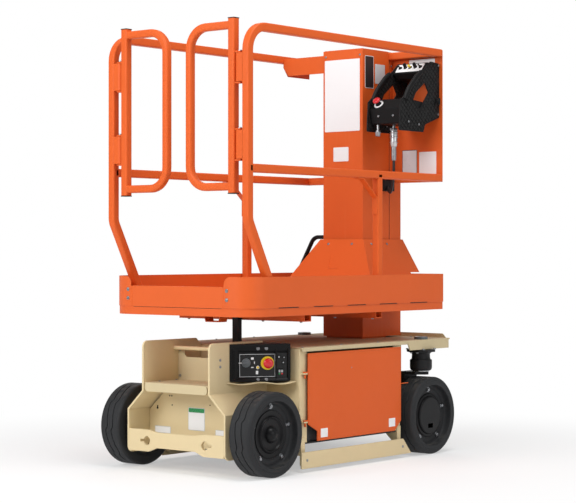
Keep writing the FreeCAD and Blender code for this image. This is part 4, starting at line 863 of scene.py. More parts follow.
# ------------------------------------------------------------------ wheels and steering
@dataclass
class Wheels:
    """The four solid tyres, their dished discs, bolts and hubs."""

    disc: float = 0.020
    mouth: float = 0.12475
    bore: float = 0.0201
    groove: float = 0.0038
    bolt_circle: float = 0.105
    bolts: int = 5
    tread: float = 0.1585
    teeth: float = 9.0
    around: int = 217
    bands: tuple[tuple[float, float, float, float], ...] = (
        (-0.0288, 0.0120, 0.0, 0.010), (-0.0005, 0.0126, 0.010, 0.010), (0.0278, 0.0120, 0.010, 0.0))

    def build(self) -> None:
        """Build the four wheels."""
        for end in ("front", "rear"):
            for side, sign in SIDES:
                self.wheel(f"{end}_{side}", (0.0, sign, 0.0), end == "rear")

    def wheel(self, tag: str, outward: Triple, rear: bool) -> None:
        """Build one wheel.

        Args:
            tag: Its end and side.
            outward: Direction of its outer face.
            rear: Whether it is a rear wheel.
        """
        low, high = corners_of(f"tyre_{tag}")
        place, body = placed((low + high) / 2, outward), f"wheel_{tag}"
        tyre = Piece(f"tyre_{tag}_tread", body, Slot.TYRE, RUBBER)
        tyre.turned(place, self.tyre_profile(), 96)
        for middle, half, low_wave, high_wave in self.bands:
            tyre.take(Trees.bands.run(bpy.data.meshes.new("seed"), RUBBER, Radius=self.tread,
                                      Depth=self.groove, Middle=middle, Half=half, Low_Wave=low_wave,
                                      High_Wave=high_wave, Teeth=self.teeth, Around=self.around), place)
        tyre.done([f"tyre_{tag}"], smooth=32.0)
        circle = ring(self.bolt_circle, self.bolts, math.pi / 2)
        HEX_BOLT.place(f"wheel_bolts_{tag}", body, Slot.TYRE,
                       [(place @ Vector((*point, self.disc)), outward) for point in circle])
        hub = Piece(f"hub_{tag}_cover", body, Slot.TYRE, HUB_BLACK, STEEL_BLACK)
        hub.turned(place, self.rear_hub_profile() if rear else self.front_hub_profile(), 72)
        if not rear:
            hub.block((-0.017, -0.034, 0.0338), (0.017, -0.052, 0.0343), 0.0004, 1, place)
        hub.done([f"hub_{tag}"], smooth=50.0)

    def tyre_profile(self) -> list[Pair]:
        """Return the closed section of tyre and dished disc, as radius and place along the axle."""
        base = self.tread - self.groove
        return [(self.bore, self.disc), (0.0965, self.disc), (0.0985, 0.0212), (0.1105, 0.0212),
                (0.1125, self.disc), (0.1175, 0.0205), (0.1212, 0.0232), (0.1234, 0.0285), (0.1243, 0.036),
                (self.mouth, 0.0462), (0.1256, 0.0487), (0.1275, 0.0499), (0.1400, 0.0499),
                (0.1412, 0.0489), (0.1427, 0.0489), (0.1438, 0.0498), (0.1490, 0.0494), (0.1538, 0.0474),
                (0.1570, 0.0438), (self.tread, 0.0402), (self.tread, 0.0398), (base, 0.0398),
                (base, -0.0408), (self.tread, -0.0408), (self.tread, -0.0418), (0.1568, -0.0455),
                (0.1530, -0.0484), (0.1480, -0.0498), (0.1240, -0.0498), (0.1200, -0.0470),
                (0.1180, -0.0430), (0.0660, -0.0430), (0.0620, -0.0470), (0.0580, -0.0498),
                (self.bore, -0.0498)]

    def rear_hub_profile(self) -> list[Pair]:
        """Return the rear hub's half section: rim, one raised ring and a prominent round boss."""
        boss = [(0.0, 0.0479)] + [(0.032 * math.sin(a), 0.0179 + 0.030 * math.cos(a))
                                  for a in (math.radians(12 * i) for i in range(1, 8))]
        return boss + [(0.0325, 0.0228), (0.0345, 0.0222), (0.0560, 0.0222), (0.0580, 0.0242),
                       (0.0608, 0.0290), (0.0640, 0.0306), (0.0674, 0.0290), (0.0694, 0.0250),
                       (0.0710, 0.0226), (0.0850, 0.0226), (0.0872, 0.0242), (0.0888, 0.0240),
                       (0.0898, 0.0222), (0.0899, 0.0203), (0.0, 0.0203)]

    def front_hub_profile(self) -> list[Pair]:
        """Return the front hub's half section: a broad flat cover with a rounded rim."""
        return [(0.0, 0.0340), (0.0700, 0.0340), (0.0735, 0.0336), (0.0762, 0.0322), (0.0775, 0.0300),
                (0.0780, 0.0262), (0.0790, 0.0252), (0.0865, 0.0250), (0.0886, 0.0240), (0.0898, 0.0222),
                (0.0899, 0.0203), (0.0, 0.0203)]


@dataclass
class SteerGear:
    """The kingpin housings with their bolted flanges, and the caps on the deck."""

    radius: float = 0.046
    flange: float = 0.054
    neck: float = 0.029
    bore: float = 0.0181
    shoulder_drop: float = 0.037

    def build(self) -> None:
        """Build both housings and both caps."""
        low, high = corners_of("steer_housings")
        cap_low, cap_high = corners_of("kingpin_caps")
        shoulder, bottom, bore = high.z - self.shoulder_drop, low.z, self.bore
        base, top = cap_low.z + 0.0002, cap_high.z - 0.0002
        casting = [(bore, bottom + 0.004), (0.0370, bottom + 0.004), (0.0425, bottom + 0.0065),
                   (0.0450, bottom + 0.012), (self.radius, bottom + 0.018), (self.radius, bottom + 0.046),
                   (0.0450, bottom + 0.0485), (0.0405, bottom + 0.0510), (0.0385, bottom + 0.054),
                   (0.0375, bottom + 0.071), (0.0395, bottom + 0.0755), (0.0430, bottom + 0.0785),
                   (0.0430, shoulder - 0.009), (bore, shoulder - 0.009)]
        seal = [(bore, bottom), (0.0345, bottom), (0.0360, bottom + 0.001), (0.0365, bottom + 0.0038),
                (bore, bottom + 0.0038)]
        disc = [(0.0, top - 0.002), (0.0085, top - 0.002), (0.0100, top), (0.0262, top),
                (0.0277, top - 0.0010), (0.0284, top - 0.0028), (0.0284, base), (0.0, base)]
        reach, cut, neck = self.flange - 0.0002, self.flange / 2, self.neck
        flange = [(-reach, -cut), (-cut, -reach), (cut, -reach), (reach, -cut), (reach, cut),
                  (cut, reach), (-cut, reach), (-reach, cut)]
        housing = Piece("steer_housing_castings", "chassis", Slot.STEER, STEEL_BLACK, ZINC)
        caps = Piece("kingpin_cap_discs", "chassis", Slot.CAP, CAP_GREY, STEEL_BLACK)
        bolts, cap_bolts = [], []
        for _, side in SIDES:
            place = Matrix.Translation(((low.x + high.x) / 2, side * (high.y - self.flange), 0.0))
            housing.turned(place, casting, 56)
            housing.turned(place, seal, 48, 1)
            housing.slab(place, rounded(flange, 0.006, 2), shoulder - 0.010, shoulder, 0.0015)
            housing.slab(place, rounded(rect(-neck, -neck, neck, neck), 0.004, 2), shoulder - 0.001,
                         high.z - 0.0004, 0.0008)
            for x, y, z, way in ((0.0405, 0.0405, shoulder + 0.0001, UP),
                                 (0.0475, 0.0150, shoulder - 0.0101, DOWN)):
                bolts += [(place @ Vector((a * x, b * y, z)), way) for a in (-1, 1) for b in (-1, 1)]
            caps.turned(place, disc, 48)
            cap_bolts += [(place @ Vector((0.0185 * math.cos(a), 0.0185 * math.sin(a), top - 0.0022)), UP)
                          for a in (0.5, 2.6, 4.7)]
        housing.done(["steer_housings"], smooth=40.0)
        caps.done(["kingpin_caps"], smooth=40.0)
        SMALL_BOLT.place("steer_housing_bolts", "chassis", Slot.STEER, bolts)
        CAP_BOLT.place("kingpin_cap_bolts", "chassis", Slot.CAP, cap_bolts)


# ------------------------------------------------------------------ rails and gates
def tube_section(half: float, corner: float) -> list[Pair]:
    """Return the outline of a square tube with rounded corners."""
    return [(point.x, point.y) for point in rounded(rect(-half, -half, half, half), corner, 3)]


@dataclass
class Rails:
    """The hooped rails on both sides and the two gates, in rounded square tube."""

    half: float = 0.0159
    corner: float = 0.006
    loop_half: float = 0.0149
    loop_corner: float = 0.0085
    post_x: float = -0.64075
    lean: float = 0.183
    kink_z: float = 0.951
    top_z: float = 1.661
    mid_z: float = 1.140
    floor_z: float = 0.600
    front_x: float = 0.5862
    side_post_x: float = 0.15425
    rail_y: float = 0.3427
    mast_y: float = 0.1046
    hinge_y: float = 0.3057
    gate_y: float = 0.274
    meeting_y: float = 0.060
    gate_ends: Pair = (1.0502, 1.6898)
    loop_ends: Pair = (1.074, 1.667)
    sleeves: Pair = (1.173, 1.456)
    sleeve_height: float = 0.106
    sleeve_radius: float = 0.0152
    sleeve_bore: float = 0.00605
    lug_half: float = 0.0108
    cap_half: float = 0.0158

    def build(self) -> None:
        """Build both sides' rails and gates."""
        for side, sign in SIDES:
            self.rail(side, sign)
            self.gate(side, sign)

    def rail(self, side: str, sign: float) -> None:
        """Build one side's rails with post, gusset strap and hinge sleeves.

        Args:
            side: "left" or "right".
            sign: 1 for left and -1 for right.
        """
        y = sign * self.rail_y
        section = tube_section(self.half, self.corner)
        piece = Piece(f"rail_{side}_tubes", "platform", Slot.ORANGE, ORANGE)
        slope = self.lean / (self.kink_z - self.floor_z)
        hoop = [(self.post_x + self.lean - slope * 0.001, y, self.floor_z + 0.001),
                (self.post_x, y, self.kink_z),
                (self.post_x, y, self.top_z), (self.front_x, y, self.top_z)]
        piece.tube(rounded(hoop, (0.0, 0.06, 0.09, 0.0), 9, closed=False), section, LEFT)
        foot = (self.side_post_x, y, self.floor_z + 0.0005)
        for path in (((self.post_x, y, self.mid_z), (self.front_x, y, self.mid_z)),
                     (foot, (self.side_post_x, y, self.mid_z))):
            piece.tube(path, section, LEFT)
        back = self.front_x - self.half
        for z in (self.mid_z, self.top_z):
            piece.tube([(back, sign * self.mast_y, z), (back, y, z)], section, UP)
        face, top = self.side_post_x - self.half, self.mid_z - self.half
        strap = [(face - 0.126, top), (face - 0.091, top), (face, top - 0.075), (face, top - 0.142),
                 (face - 0.004, top - 0.142), (face - 0.004, top - 0.077), (face - 0.0925, top - 0.004),
                 (face - 0.126, top - 0.004)]
        piece.slab(UPRIGHT, strap, y - 0.0125, y + 0.0125, 0.0006)
        for bottom in self.sleeves:
            self.sleeve(piece, sign, bottom)
        piece.done([f"side_rail_{side}"])

    def sleeve(self, piece: Piece, sign: float, bottom: float) -> None:
        """Add one hinge sleeve: a round-nosed block, drawn in at its ends, bored for the pin."""
        wide, inner = self.sleeve_radius, sign * self.hinge_y
        outer = sign * (self.rail_y - self.half + 0.002)
        nose = [(wide * math.cos(a), inner - sign * wide * math.sin(a))
                for a in (math.pi * i / 14 for i in range(15))]
        bore = [(x, inner + y) for x, y in ring(self.sleeve_bore, 20)]
        piece.slab(Matrix.Translation((self.post_x, 0.0, 0.0)),
                   [(wide, outer), *nose, (-wide, outer)], bottom,
                   bottom + self.sleeve_height, 0.0022, 0, [bore])

    def gate(self, side: str, sign: float) -> None:
        """Build one gate: post, round-cornered loop, hinge lugs and pins.

        Args:
            side: "left" or "right".
            sign: 1 for left and -1 for right.
        """
        x, y, near = self.post_x, sign * self.gate_y, sign * self.meeting_y
        low_loop, high_loop = self.loop_ends
        piece = Piece(f"gate_{side}_tubes", f"gate_{side}", Slot.ORANGE, ORANGE, ZINC)
        piece.tube([(x, y, z) for z in self.gate_ends], tube_section(self.half, self.corner), (1.0, 0.0, 0.0))
        loop = [(x, y, high_loop), (x, near, high_loop), (x, near, low_loop), (x, y, low_loop)]
        piece.tube(rounded(loop, (0.0, 0.08, 0.08, 0.0), 10, closed=False),
                   tube_section(self.loop_half, self.loop_corner), (1.0, 0.0, 0.0))
        low, high = sorted((y, sign * (self.hinge_y + self.lug_half)))
        pin = Matrix.Translation((x, sign * self.hinge_y, 0.0))
        for bottom in self.sleeves:
            for z in (bottom - 0.0065, bottom + 0.1065):
                piece.block((x - self.lug_half, low, z), (x + self.lug_half, high, z + 0.006), 0.0012)
            piece.turned(pin, [(0.0, bottom - 0.006), (0.006, bottom - 0.006), (0.006, bottom + 0.112),
                               (0.0, bottom + 0.112)], 20, 1)
            piece.turned(pin, [(0.0, bottom + 0.1125), (0.0085, bottom + 0.1125), (0.0085, bottom + 0.1148),
                               (0.0070, bottom + 0.1165), (0.0, bottom + 0.1168)], 20, 1)
        piece.done([f"gate_{side}"])
        caps, half = Piece(f"gate_{side}_end_caps", f"gate_{side}", Slot.GATE_CAP, PLASTIC), self.cap_half
        for low, high in ((1.0462, 1.0499), (1.6901, 1.6938)):
            caps.block((x - half, y - half, low), (x + half, y + half, high), 0.0014)
        caps.done([f"gate_caps_{side}"])


# ------------------------------------------------------------------ platform tray and mast
@dataclass
class Platform:
    """Bolts, pressed slots and screws on the platform's toe boards and under it."""

    rear_x: float = -0.65375
    half_y: float = 0.364
    lip_y: float = 0.229
    trim_y: float = 0.233

    def build(self) -> None:
        """Add the tray's fittings: bolts, pressed slots and seams with painted shadow lines under them, the
        entry's lip and the cross beams' bolts.
        """
        SMALL_BOLT.place("entry_bolts", "platform", Slot.ORANGE, [
            ((self.rear_x - 0.0001, y, z), BACK) for y in (-0.252, 0.252) for z in (0.656, 0.690)])
        slots = Trees.ribs.run(spots_mesh([((x, 0.0, 0.0), BACK) for x in (-0.43, -0.22, -0.01, 0.2, 0.41)]),
                               ORANGE, Length=0.118, Width=0.0032, Height=0.0006)
        seams = Piece("toe_board_seams_and_painted_shadows", "platform", Slot.ORANGE, ORANGE, PAINTED_SHADE_AND_JOINT_DARK)
        for _, sign in SIDES:
            side = placed((0.0, sign * (self.half_y - 0.0001), 0.6290), (0.0, sign, 0.0))
            seams.take(slots.copy(), side, 0)
            # a near-black copy of each slot just below it: a painted shadow line
            seams.take(slots.copy(), side @ Matrix.Translation((0.0, -0.0034, -0.0001)), 1)
        entry = placed((self.rear_x + 0.0019, 0.0, 0.6275), BACK)
        seams.block((-0.225, -0.0014, 0.0), (0.225, 0.0014, 0.0008), 0.0004, 0, entry)
        # a near-black strip under the entry seam: a painted shadow line
        seams.block((-0.225, -0.0040, -0.0004), (0.225, -0.0018, 0.0004), 0.0002, 1, entry)
        seams.done()
        lip = Piece("entry_lip", "platform", Slot.ORANGE, ORANGE)
        lip.block((self.rear_x - 0.0004, -self.lip_y, 0.700),
                  (self.rear_x + 0.0042, self.lip_y, 0.7042), 0.0015)
        for _, sign in SIDES:
            lip.block((self.rear_x - 0.0012, sign * self.trim_y - 0.0028, 0.628),
                      (self.rear_x + 0.0012, sign * self.trim_y + 0.0028, 0.7025), 0.0011)
        lip.done()
        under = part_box("cross_beams")[0][2] + 0.0040
        SMALL_BOLT.place("cross_beam_bolts", "platform", Slot.ORANGE, [
            ((x, y, under), DOWN) for x in (-0.26575, 0.19125) for y in (-0.29, -0.1, 0.1, 0.29)])


@dataclass
class Mast:
    """Plates, strips, screws and seams on the mast, its skirt and cover."""

    rear_x: float = 0.37425
    cover_x: float = 0.56125
    half: float = 0.104
    cover_ends: Pair = (0.605, 1.676)
    skirt_ends: Pair = (0.600, 0.885)
    skirt_gap: float = 0.009
    skirt_run: float = 0.151
    skirt_side_run: float = 0.180
    screw_drop: float = 0.020
    tab_share: float = 0.34

    def build(self) -> None:
        """Add the mast's plates, screws and cover flanges."""
        rear = placed((self.rear_x - 0.0002, 0.0, 0.0), BACK)
        right = placed((0.0, -self.half - 0.0002, 0.0), RIGHT)
        plates = Piece("mast_blank_plates", "platform", Slot.MAST, PLATE_WHITE, PLATE_EDGE, PLATE_GREY)
        blank_plate(plates, rear, (-0.089, 1.338), (0.096, 1.640), 0.004)
        blank_plate(plates, rear, (-0.030, 1.212), (0.050, 1.272), 0.004)
        blank_plate(plates, right, (0.389, 1.517), (0.450, 1.653), 0.006, face=1)
        blank_plate(plates, right, (0.460, 1.539), (0.530, 1.622), 0.003, face=2, rim=2)
        plates.done()
        screws = [((self.cover_x + 0.012, way[1] * (self.half + 0.0013), z), way)
                  for way, heights in ((RIGHT, (0.62, 0.86, 1.30, 1.46, 1.62)),
                                       (LEFT, (0.62, 0.86, 1.10, 1.34, 1.58)))
                  for z in heights]
        screws += [((self.rear_x - 0.0002, y, 1.655), BACK) for y in (-0.09, 0.09)]
        CAP_SCREW.place("mast_screws", "platform", Slot.MAST, screws)
        seam = Piece("mast_cover_flanges", "platform", Slot.MAST, MAST_ORANGE, PAINTED_SHADE_AND_JOINT_DARK)
        bottom, top = self.cover_ends
        for _, sign in SIDES:
            for start, end, out, edge, finish in ((0.0016, 0.026, 0.0012, 0.0008, 0),
                                                  (-0.0012, 0.0012, 0.0004, 0.0002, 1)):
                low, high = sorted((sign * (self.half - 0.001), sign * (self.half + out)))
                seam.block((self.cover_x + start, low, bottom), (self.cover_x + end, high, top), edge, finish)
        seam.done()
        self.top()
        self.skirt()

    def top(self) -> None:
        """Add the mast's top cap and the plugs of its lifting holes."""
        cap = Piece("mast_top_cap", "platform", Slot.MAST, MAST_ORANGE, PLASTIC)
        inner = self.half - 0.004
        cap.block((self.rear_x + 0.004, -inner, 1.6795), (self.cover_x - 0.003, inner, 1.6822), 0.0012)
        for y in (-0.06, 0.06):
            cap.turned(Matrix.Translation((self.rear_x + 0.09, y, 1.682)),
                       [(0.0, 0.0032), (0.008, 0.0030), (0.0105, 0.0016), (0.0115, 0.0), (0.0, 0.0)], 28, 1)
        cap.done()

    def skirt(self) -> None:
        """Add the skirt's rim screws and the pressed tab on its rear face."""
        low, top = self.skirt_ends
        tall, run, side_run, drop = top - low, self.skirt_run, self.skirt_side_run, self.screw_drop
        rear_normal = Vector((-tall, 0.0, run)).normalized()
        right_normal, left_normal = (Vector((0.0, sign * tall, side_run)).normalized()
                                     for sign in (-1.0, 1.0))
        rear_x = self.rear_x - self.skirt_gap - run * drop / tall
        edge_y = self.half + self.skirt_gap + side_run * drop / tall
        spots = [((rear_x, y, top - drop), rear_normal) for y in (-0.062, 0.062)]
        spots += [((x, -edge_y, top - drop), right_normal) for x in (0.405, 0.515)]
        spots += [((x, edge_y, top - drop), left_normal) for x in (0.460, 0.515)]
        PAN_SCREW.place("skirt_screws", "platform", Slot.ORANGE, spots)
        share = self.tab_share
        face = placed((self.rear_x - self.skirt_gap - run * share, 0.0, top - tall * share), rear_normal)
        tab = Piece("skirt_pressed_tab", "platform", Slot.ORANGE, ORANGE)
        outline = [(-0.032, 0.030), (-0.022, -0.030), (0.028, -0.030), (0.028, -0.0275), (-0.0195, -0.0275),
                   (-0.029, 0.030)]
        tab.slab(face, outline, -0.0004, 0.0011, 0.0004)
        tab.done()


# ------------------------------------------------------------------ platform controls
@dataclass
class Console:
    """The platform controls: ribbed guards, control box, switch console, stop and plugs."""

    front: float = 0.58625
    low: float = 1.326
    outer_y: float = -0.3447
    inner_y: float = -0.1777
    sheet: float = 0.006
    web_depth: float = 0.0024
    rim_width: float = 0.0068
    rim_edge: float = 0.0014
    grip: Pair = (0.0055, 0.0095)
    rib_angles: Pair = (52.0, -38.0)
    rib_pitch: float = 0.0165
    rib_shortest: float = 0.012
    rib_width: float = 0.0040
    rib_height: float = 0.0026
    rib_clearance: float = 0.005
    stop_edge: float = 0.030
    toggle_places: tuple[float, ...] = (-0.050, -0.024, 0.0, 0.026, 0.052)
    toggle_leans: tuple[float, ...] = (12.0, -16.0, 10.0, -12.0, 14.0)

    def build(self) -> None:
        """Build the console's pieces."""
        for name, y in (("outer", self.outer_y), ("inner", self.inner_y - self.sheet)):
            self.guard(name, y)
        self.box()
        self.switches()
        self.stop()
        self.panel()

    def at(self, back: float, up: float) -> Pair:
        """Return a point of the side view, given back from the panel and up from the guards' foot."""
        return self.front - back, self.low + up

    def line(self, *points: Pair) -> list[Pair]:
        """Return points of the side view."""
        return [self.at(*point) for point in points]

    def slope(self, start: Pair, end: Pair, y: float) -> Matrix:
        """Return the place on a slanted edge of the side view, looking up and back, at y."""
        a, b = (Vector((point[0], 0.0, point[1])) for point in self.line(start, end))
        along = b - a
        return placed((a + b) / 2 + Vector((0.0, y, 0.0)), (-along.z, 0.0, along.x))

    def guard(self, name: str, y: float) -> None:
        """Build one guard: rim, web in near black as painted shade, waffle ribs, arched hand grip and hand
        window.

        Args:
            name: "outer" or "inner".
            y: Its lower face across the machine.
        """
        shape = self.line((0.286, 0.0), (0.278, 0.121), (0.223, 0.162), (0.166, 0.215), (0.063, 0.296),
                          (0.0, 0.291), (0.0, 0.066), (0.102, 0.032), (0.115, 0.0))
        outline = rounded(shape, (0.008, 0.016, 0.05, 0.05, 0.012, 0.008, 0.008, 0.008, 0.006), 5)
        window = rounded(self.line((0.104, 0.205), (0.078, 0.166), (0.142, 0.092), (0.188, 0.128),
                                   (0.168, 0.160)), 0.007, 4)
        piece = Piece(f"control_guard_{name}", "platform", Slot.CONTROL, PLASTIC, PAINTED_SHADE_AND_JOINT_DARK)
        top = y + self.sheet
        # the recessed web takes the near-black finish: painted shade between rims and ribs
        piece.slab(UPRIGHT, outline, y + self.web_depth, top - self.web_depth, 0.0004, 1, [window])
        for big, small in ((outline, inset(outline, self.rim_width)),
                           (inset(window, -self.rim_width), window)):
            piece.slab(UPRIGHT, big, y, top, self.rim_edge, 0, [small])
        arch = rounded(self.line((0.245, 0.128), (0.214, 0.176), (0.160, 0.226), (0.128, 0.248)), 0.09, 7,
                       closed=False)
        thick, wide = self.grip
        section = [(a * thick, b * wide) for a, b in ring(1.0, 12)]
        for out in (y - 0.0005, top + 0.0005):
            piece.tube([(point.x, out, point.y) for point in arch], section, LEFT)
        piece.done([] if name == "inner" else ["control_guards"], smooth=42.0)
        for tag, face, outward in (("a", y, -1.0), ("b", top, 1.0)):
            self.waffle(f"{name}_{tag}", outline, window, face - outward * self.rib_height, outward)
        screws = [((x, y - 0.0001, z), RIGHT) for x, z in
                  self.line((0.008, 0.282), (0.010, 0.078), (0.222, 0.038), (0.150, 0.030))]
        CAP_SCREW.place(f"control_guard_screws_{name}", "platform", Slot.CONTROL, screws)

    def waffle(self, name: str, outline: Sequence[Vector], window: Sequence[Vector], y: float,
               outward: float) -> None:
        """Add one face's diagonal ribs, in two crossing sets, kept clear of the hand window.

        Args:
            name: The face's name.
            outline: The guard's outline.
            window: The hand window's outline.
            y: The web's surface across the machine.
            outward: Way that the ribs stand out, 1 or -1.
        """
        piece = Piece(f"control_guard_ribs_{name}", "platform", Slot.CONTROL, PLASTIC)
        place = UPRIGHT @ Matrix.Translation((0.0, 0.0, y)) @ Matrix.Diagonal((1.0, 1.0, outward, 1.0))
        for angle in (math.radians(turn) for turn in self.rib_angles):
            along = Vector((math.cos(angle), math.sin(angle), 0.0))
            across = Vector((-along.y, along.x, 0.0))
            spots: dict[int, list[tuple[Vector, float]]] = {}
            reach = [corner.dot(across) for corner in outline]
            row = math.ceil(min(reach) / self.rib_pitch) * self.rib_pitch
            while row < max(reach):
                for first, last in self.crossings(along, across, row, (outline, window)):
                    if last - first > self.rib_shortest:
                        spots.setdefault(round((last - first) * 500), []).append(
                            (along * ((first + last) / 2) + across * row, last - first))
                row += self.rib_pitch
            for group in spots.values():
                piece.take(Trees.ribs.run(spots_mesh([(point, UP) for point, _ in group]), PLASTIC,
                                          Length=group[0][1], Width=self.rib_width,
                                          Height=self.rib_height, Turn=angle), place)
        piece.done(smooth=30.0)

    def crossings(self, along: Vector, across: Vector, row: float, loops: Sequence[Sequence[Vector]]
                  ) -> list[Pair]:
        """Return the stretches of a straight row that lie inside an outline and outside its window.

        Args:
            along: Direction of the row.
            across: Direction square to it.
            row: Place of the row along across.
            loops: The outline and the window.

        Returns:
            Start and end of each stretch, along the row.
        """
        cuts = []
        for loop in (inset(loops[0], self.rib_clearance), inset(loops[1], -self.rib_clearance)):
            for i, corner in enumerate(loop):
                before = loop[i - 1]
                low, high = before.dot(across) - row, corner.dot(across) - row
                if low * high < 0:
                    cuts.append((before + (corner - before) * (low / (low - high))).dot(along))
        cuts.sort()
        return list(zip(cuts[::2], cuts[1::2]))

    def box(self) -> None:
        """Build the control box with its glossy facet and lid line, the switch console and the screws."""
        y0, y1 = self.outer_y + self.sheet + 0.0005, self.inner_y - self.sheet - 0.0005
        shape = self.line((0.260, 0.029), (0.268, 0.091), (0.228, 0.133), (0.112, 0.125), (0.098, 0.049),
                          (0.110, 0.029))
        piece = Piece("control_box_case", "platform", Slot.CONTROL, PLASTIC, GLOSS_BLACK, BOLT_STEEL)
        piece.slab(UPRIGHT, rounded(shape, 0.007, 4), y0, y1, 0.0022)
        facet = self.line((0.2635, 0.089), (0.2285, 0.1258), (0.2275, 0.1245), (0.2622, 0.0880))
        piece.slab(UPRIGHT, facet, y0 + 0.004, y1 - 0.004, 0.0003, 1)
        upper = self.line((0.112, 0.250), (0.074, 0.292), (0.0, 0.288), (0.0, 0.216), (0.092, 0.226))
        piece.slab(UPRIGHT, rounded(upper, 0.006, 4), y0, y1, 0.0018)
        lid = self.line((0.2255, 0.1325), (0.118, 0.1257), (0.118, 0.1269), (0.2255, 0.1338))
        piece.slab(UPRIGHT, lid, y0 + 0.008, y1 - 0.008, 0.0004, 1)
        piece.done(["control_box"], smooth=42.0)
        x, z = self.at(0.2652, 0.062)
        face = Vector((-0.99, 0.0, 0.13))
        CAP_SCREW.place("control_box_screws", "platform", Slot.CONTROL,
                        [((x, y, z), face) for y in (y0 + 0.040, y1 - 0.040)])

    def switches(self) -> None:
        """Build the switch console's pale strip, with its toggles and their boots."""
        place = self.slope((0.112, 0.250), (0.074, 0.292), (self.outer_y + self.inner_y) / 2)
        piece = Piece("switch_console_face", "platform", Slot.CONTROL, PLATE_WHITE, PLASTIC, YELLOW,
                      GLOSS_BLACK)
        piece.slab(place, rounded(rect(-0.066, -0.0225, 0.066, 0.0225), 0.003, 3), 0.0001, 0.0012, 0.0004)
        thin, paddle, lever = (0.0036, 0.0036, 0.020), (0.0052, 0.0125, 0.021), (0.0046, 0.0080, 0.0175)
        sizes = (thin, paddle, lever, paddle, thin)
        for number, (x, turn, size) in enumerate(zip(self.toggle_places, self.toggle_leans, sizes)):
            collar = place @ Matrix.Translation((x, 0.002, 0.001))
            piece.turned(collar, [(0.0, 0.0055), (0.0045, 0.0052), (0.0078, 0.0028), (0.0088, 0.0),
                                  (0.0, 0.0)],
                         20, 3)
            lean = collar @ Matrix.Rotation(math.radians(turn), 4, "X")
            half, deep, high = size[0], size[1] / 2, size[2]
            piece.block((-half, -deep, 0.003), (half, deep, high), 0.0017, 2 if number == 2 else 1, lean)
        piece.done(smooth=42.0)

    def stop(self) -> None:
        """Build the emergency stop: pale round plate, ribbed stem and red mushroom head."""
        place = self.slope((0.268, 0.091), (0.228, 0.133), self.inner_y - self.sheet - self.stop_edge)
        piece = Piece("platform_stop_button", "platform", Slot.KNOB, RED, PLATE_WHITE, PLASTIC)
        piece.turned(place, [(0.0, 0.0022), (0.0198, 0.0022), (0.0207, 0.0014), (0.0208, 0.0002),
                             (0.0, 0.0002)],
                     48, 1)
        stem = [(0.0, 0.0185), (0.0108, 0.0185), (0.0108, 0.0165), (0.0095, 0.0160), (0.0095, 0.0125),
                (0.0112, 0.0120), (0.0112, 0.0085), (0.0098, 0.0080), (0.0112, 0.0055), (0.0128, 0.0021),
                (0.0, 0.0021)]
        piece.turned(place, stem, 36, 2)
        head = [(0.0, 0.0298), (0.0060, 0.0296), (0.0112, 0.0286), (0.0150, 0.0264), (0.0168, 0.0232),
                (0.0169, 0.0208), (0.0158, 0.0192), (0.0128, 0.0178), (0.0112, 0.0172), (0.0, 0.0172)]
        piece.turned(place, head, 48)
        piece.done(["control_stop"], smooth=50.0)

    def panel(self) -> None:
        """Add the panel's blank plates and the guard's latch."""
        back = placed((self.front - 0.0001, 0.0, 0.0), BACK)
        plates = Piece("panel_blank_plates", "platform", Slot.ORANGE, PLATE_WHITE, PLATE_EDGE, PLATE_GREY)
        blank_plate(plates, back, (-0.3220, 1.619), (-0.1900, 1.6415), 0.003)
        blank_plate(plates, back, (-0.2310, 1.158), (-0.1550, 1.262), 0.004, face=2, rim=1)
        blank_plate(plates, back, (-0.3290, 1.158), (-0.2420, 1.252), 0.002)
        plates.done()
        latch = Piece("guard_latch", "platform", Slot.CONTROL, PLASTIC, BOLT_STEEL)
        x, z = self.at(0.0, 0.135)
        y = self.outer_y
        latch.block((x - 0.030, y - 0.0075, z - 0.010), (x - 0.004, y - 0.0002, z + 0.012), 0.002)
        latch.block((x - 0.024, y - 0.0125, z - 0.017), (x - 0.012, y - 0.0060, z + 0.004), 0.0016)
        latch.block((x - 0.036, y - 0.0060, z - 0.022), (x - 0.028, y - 0.0002, z - 0.006), 0.0014)
        latch.done()


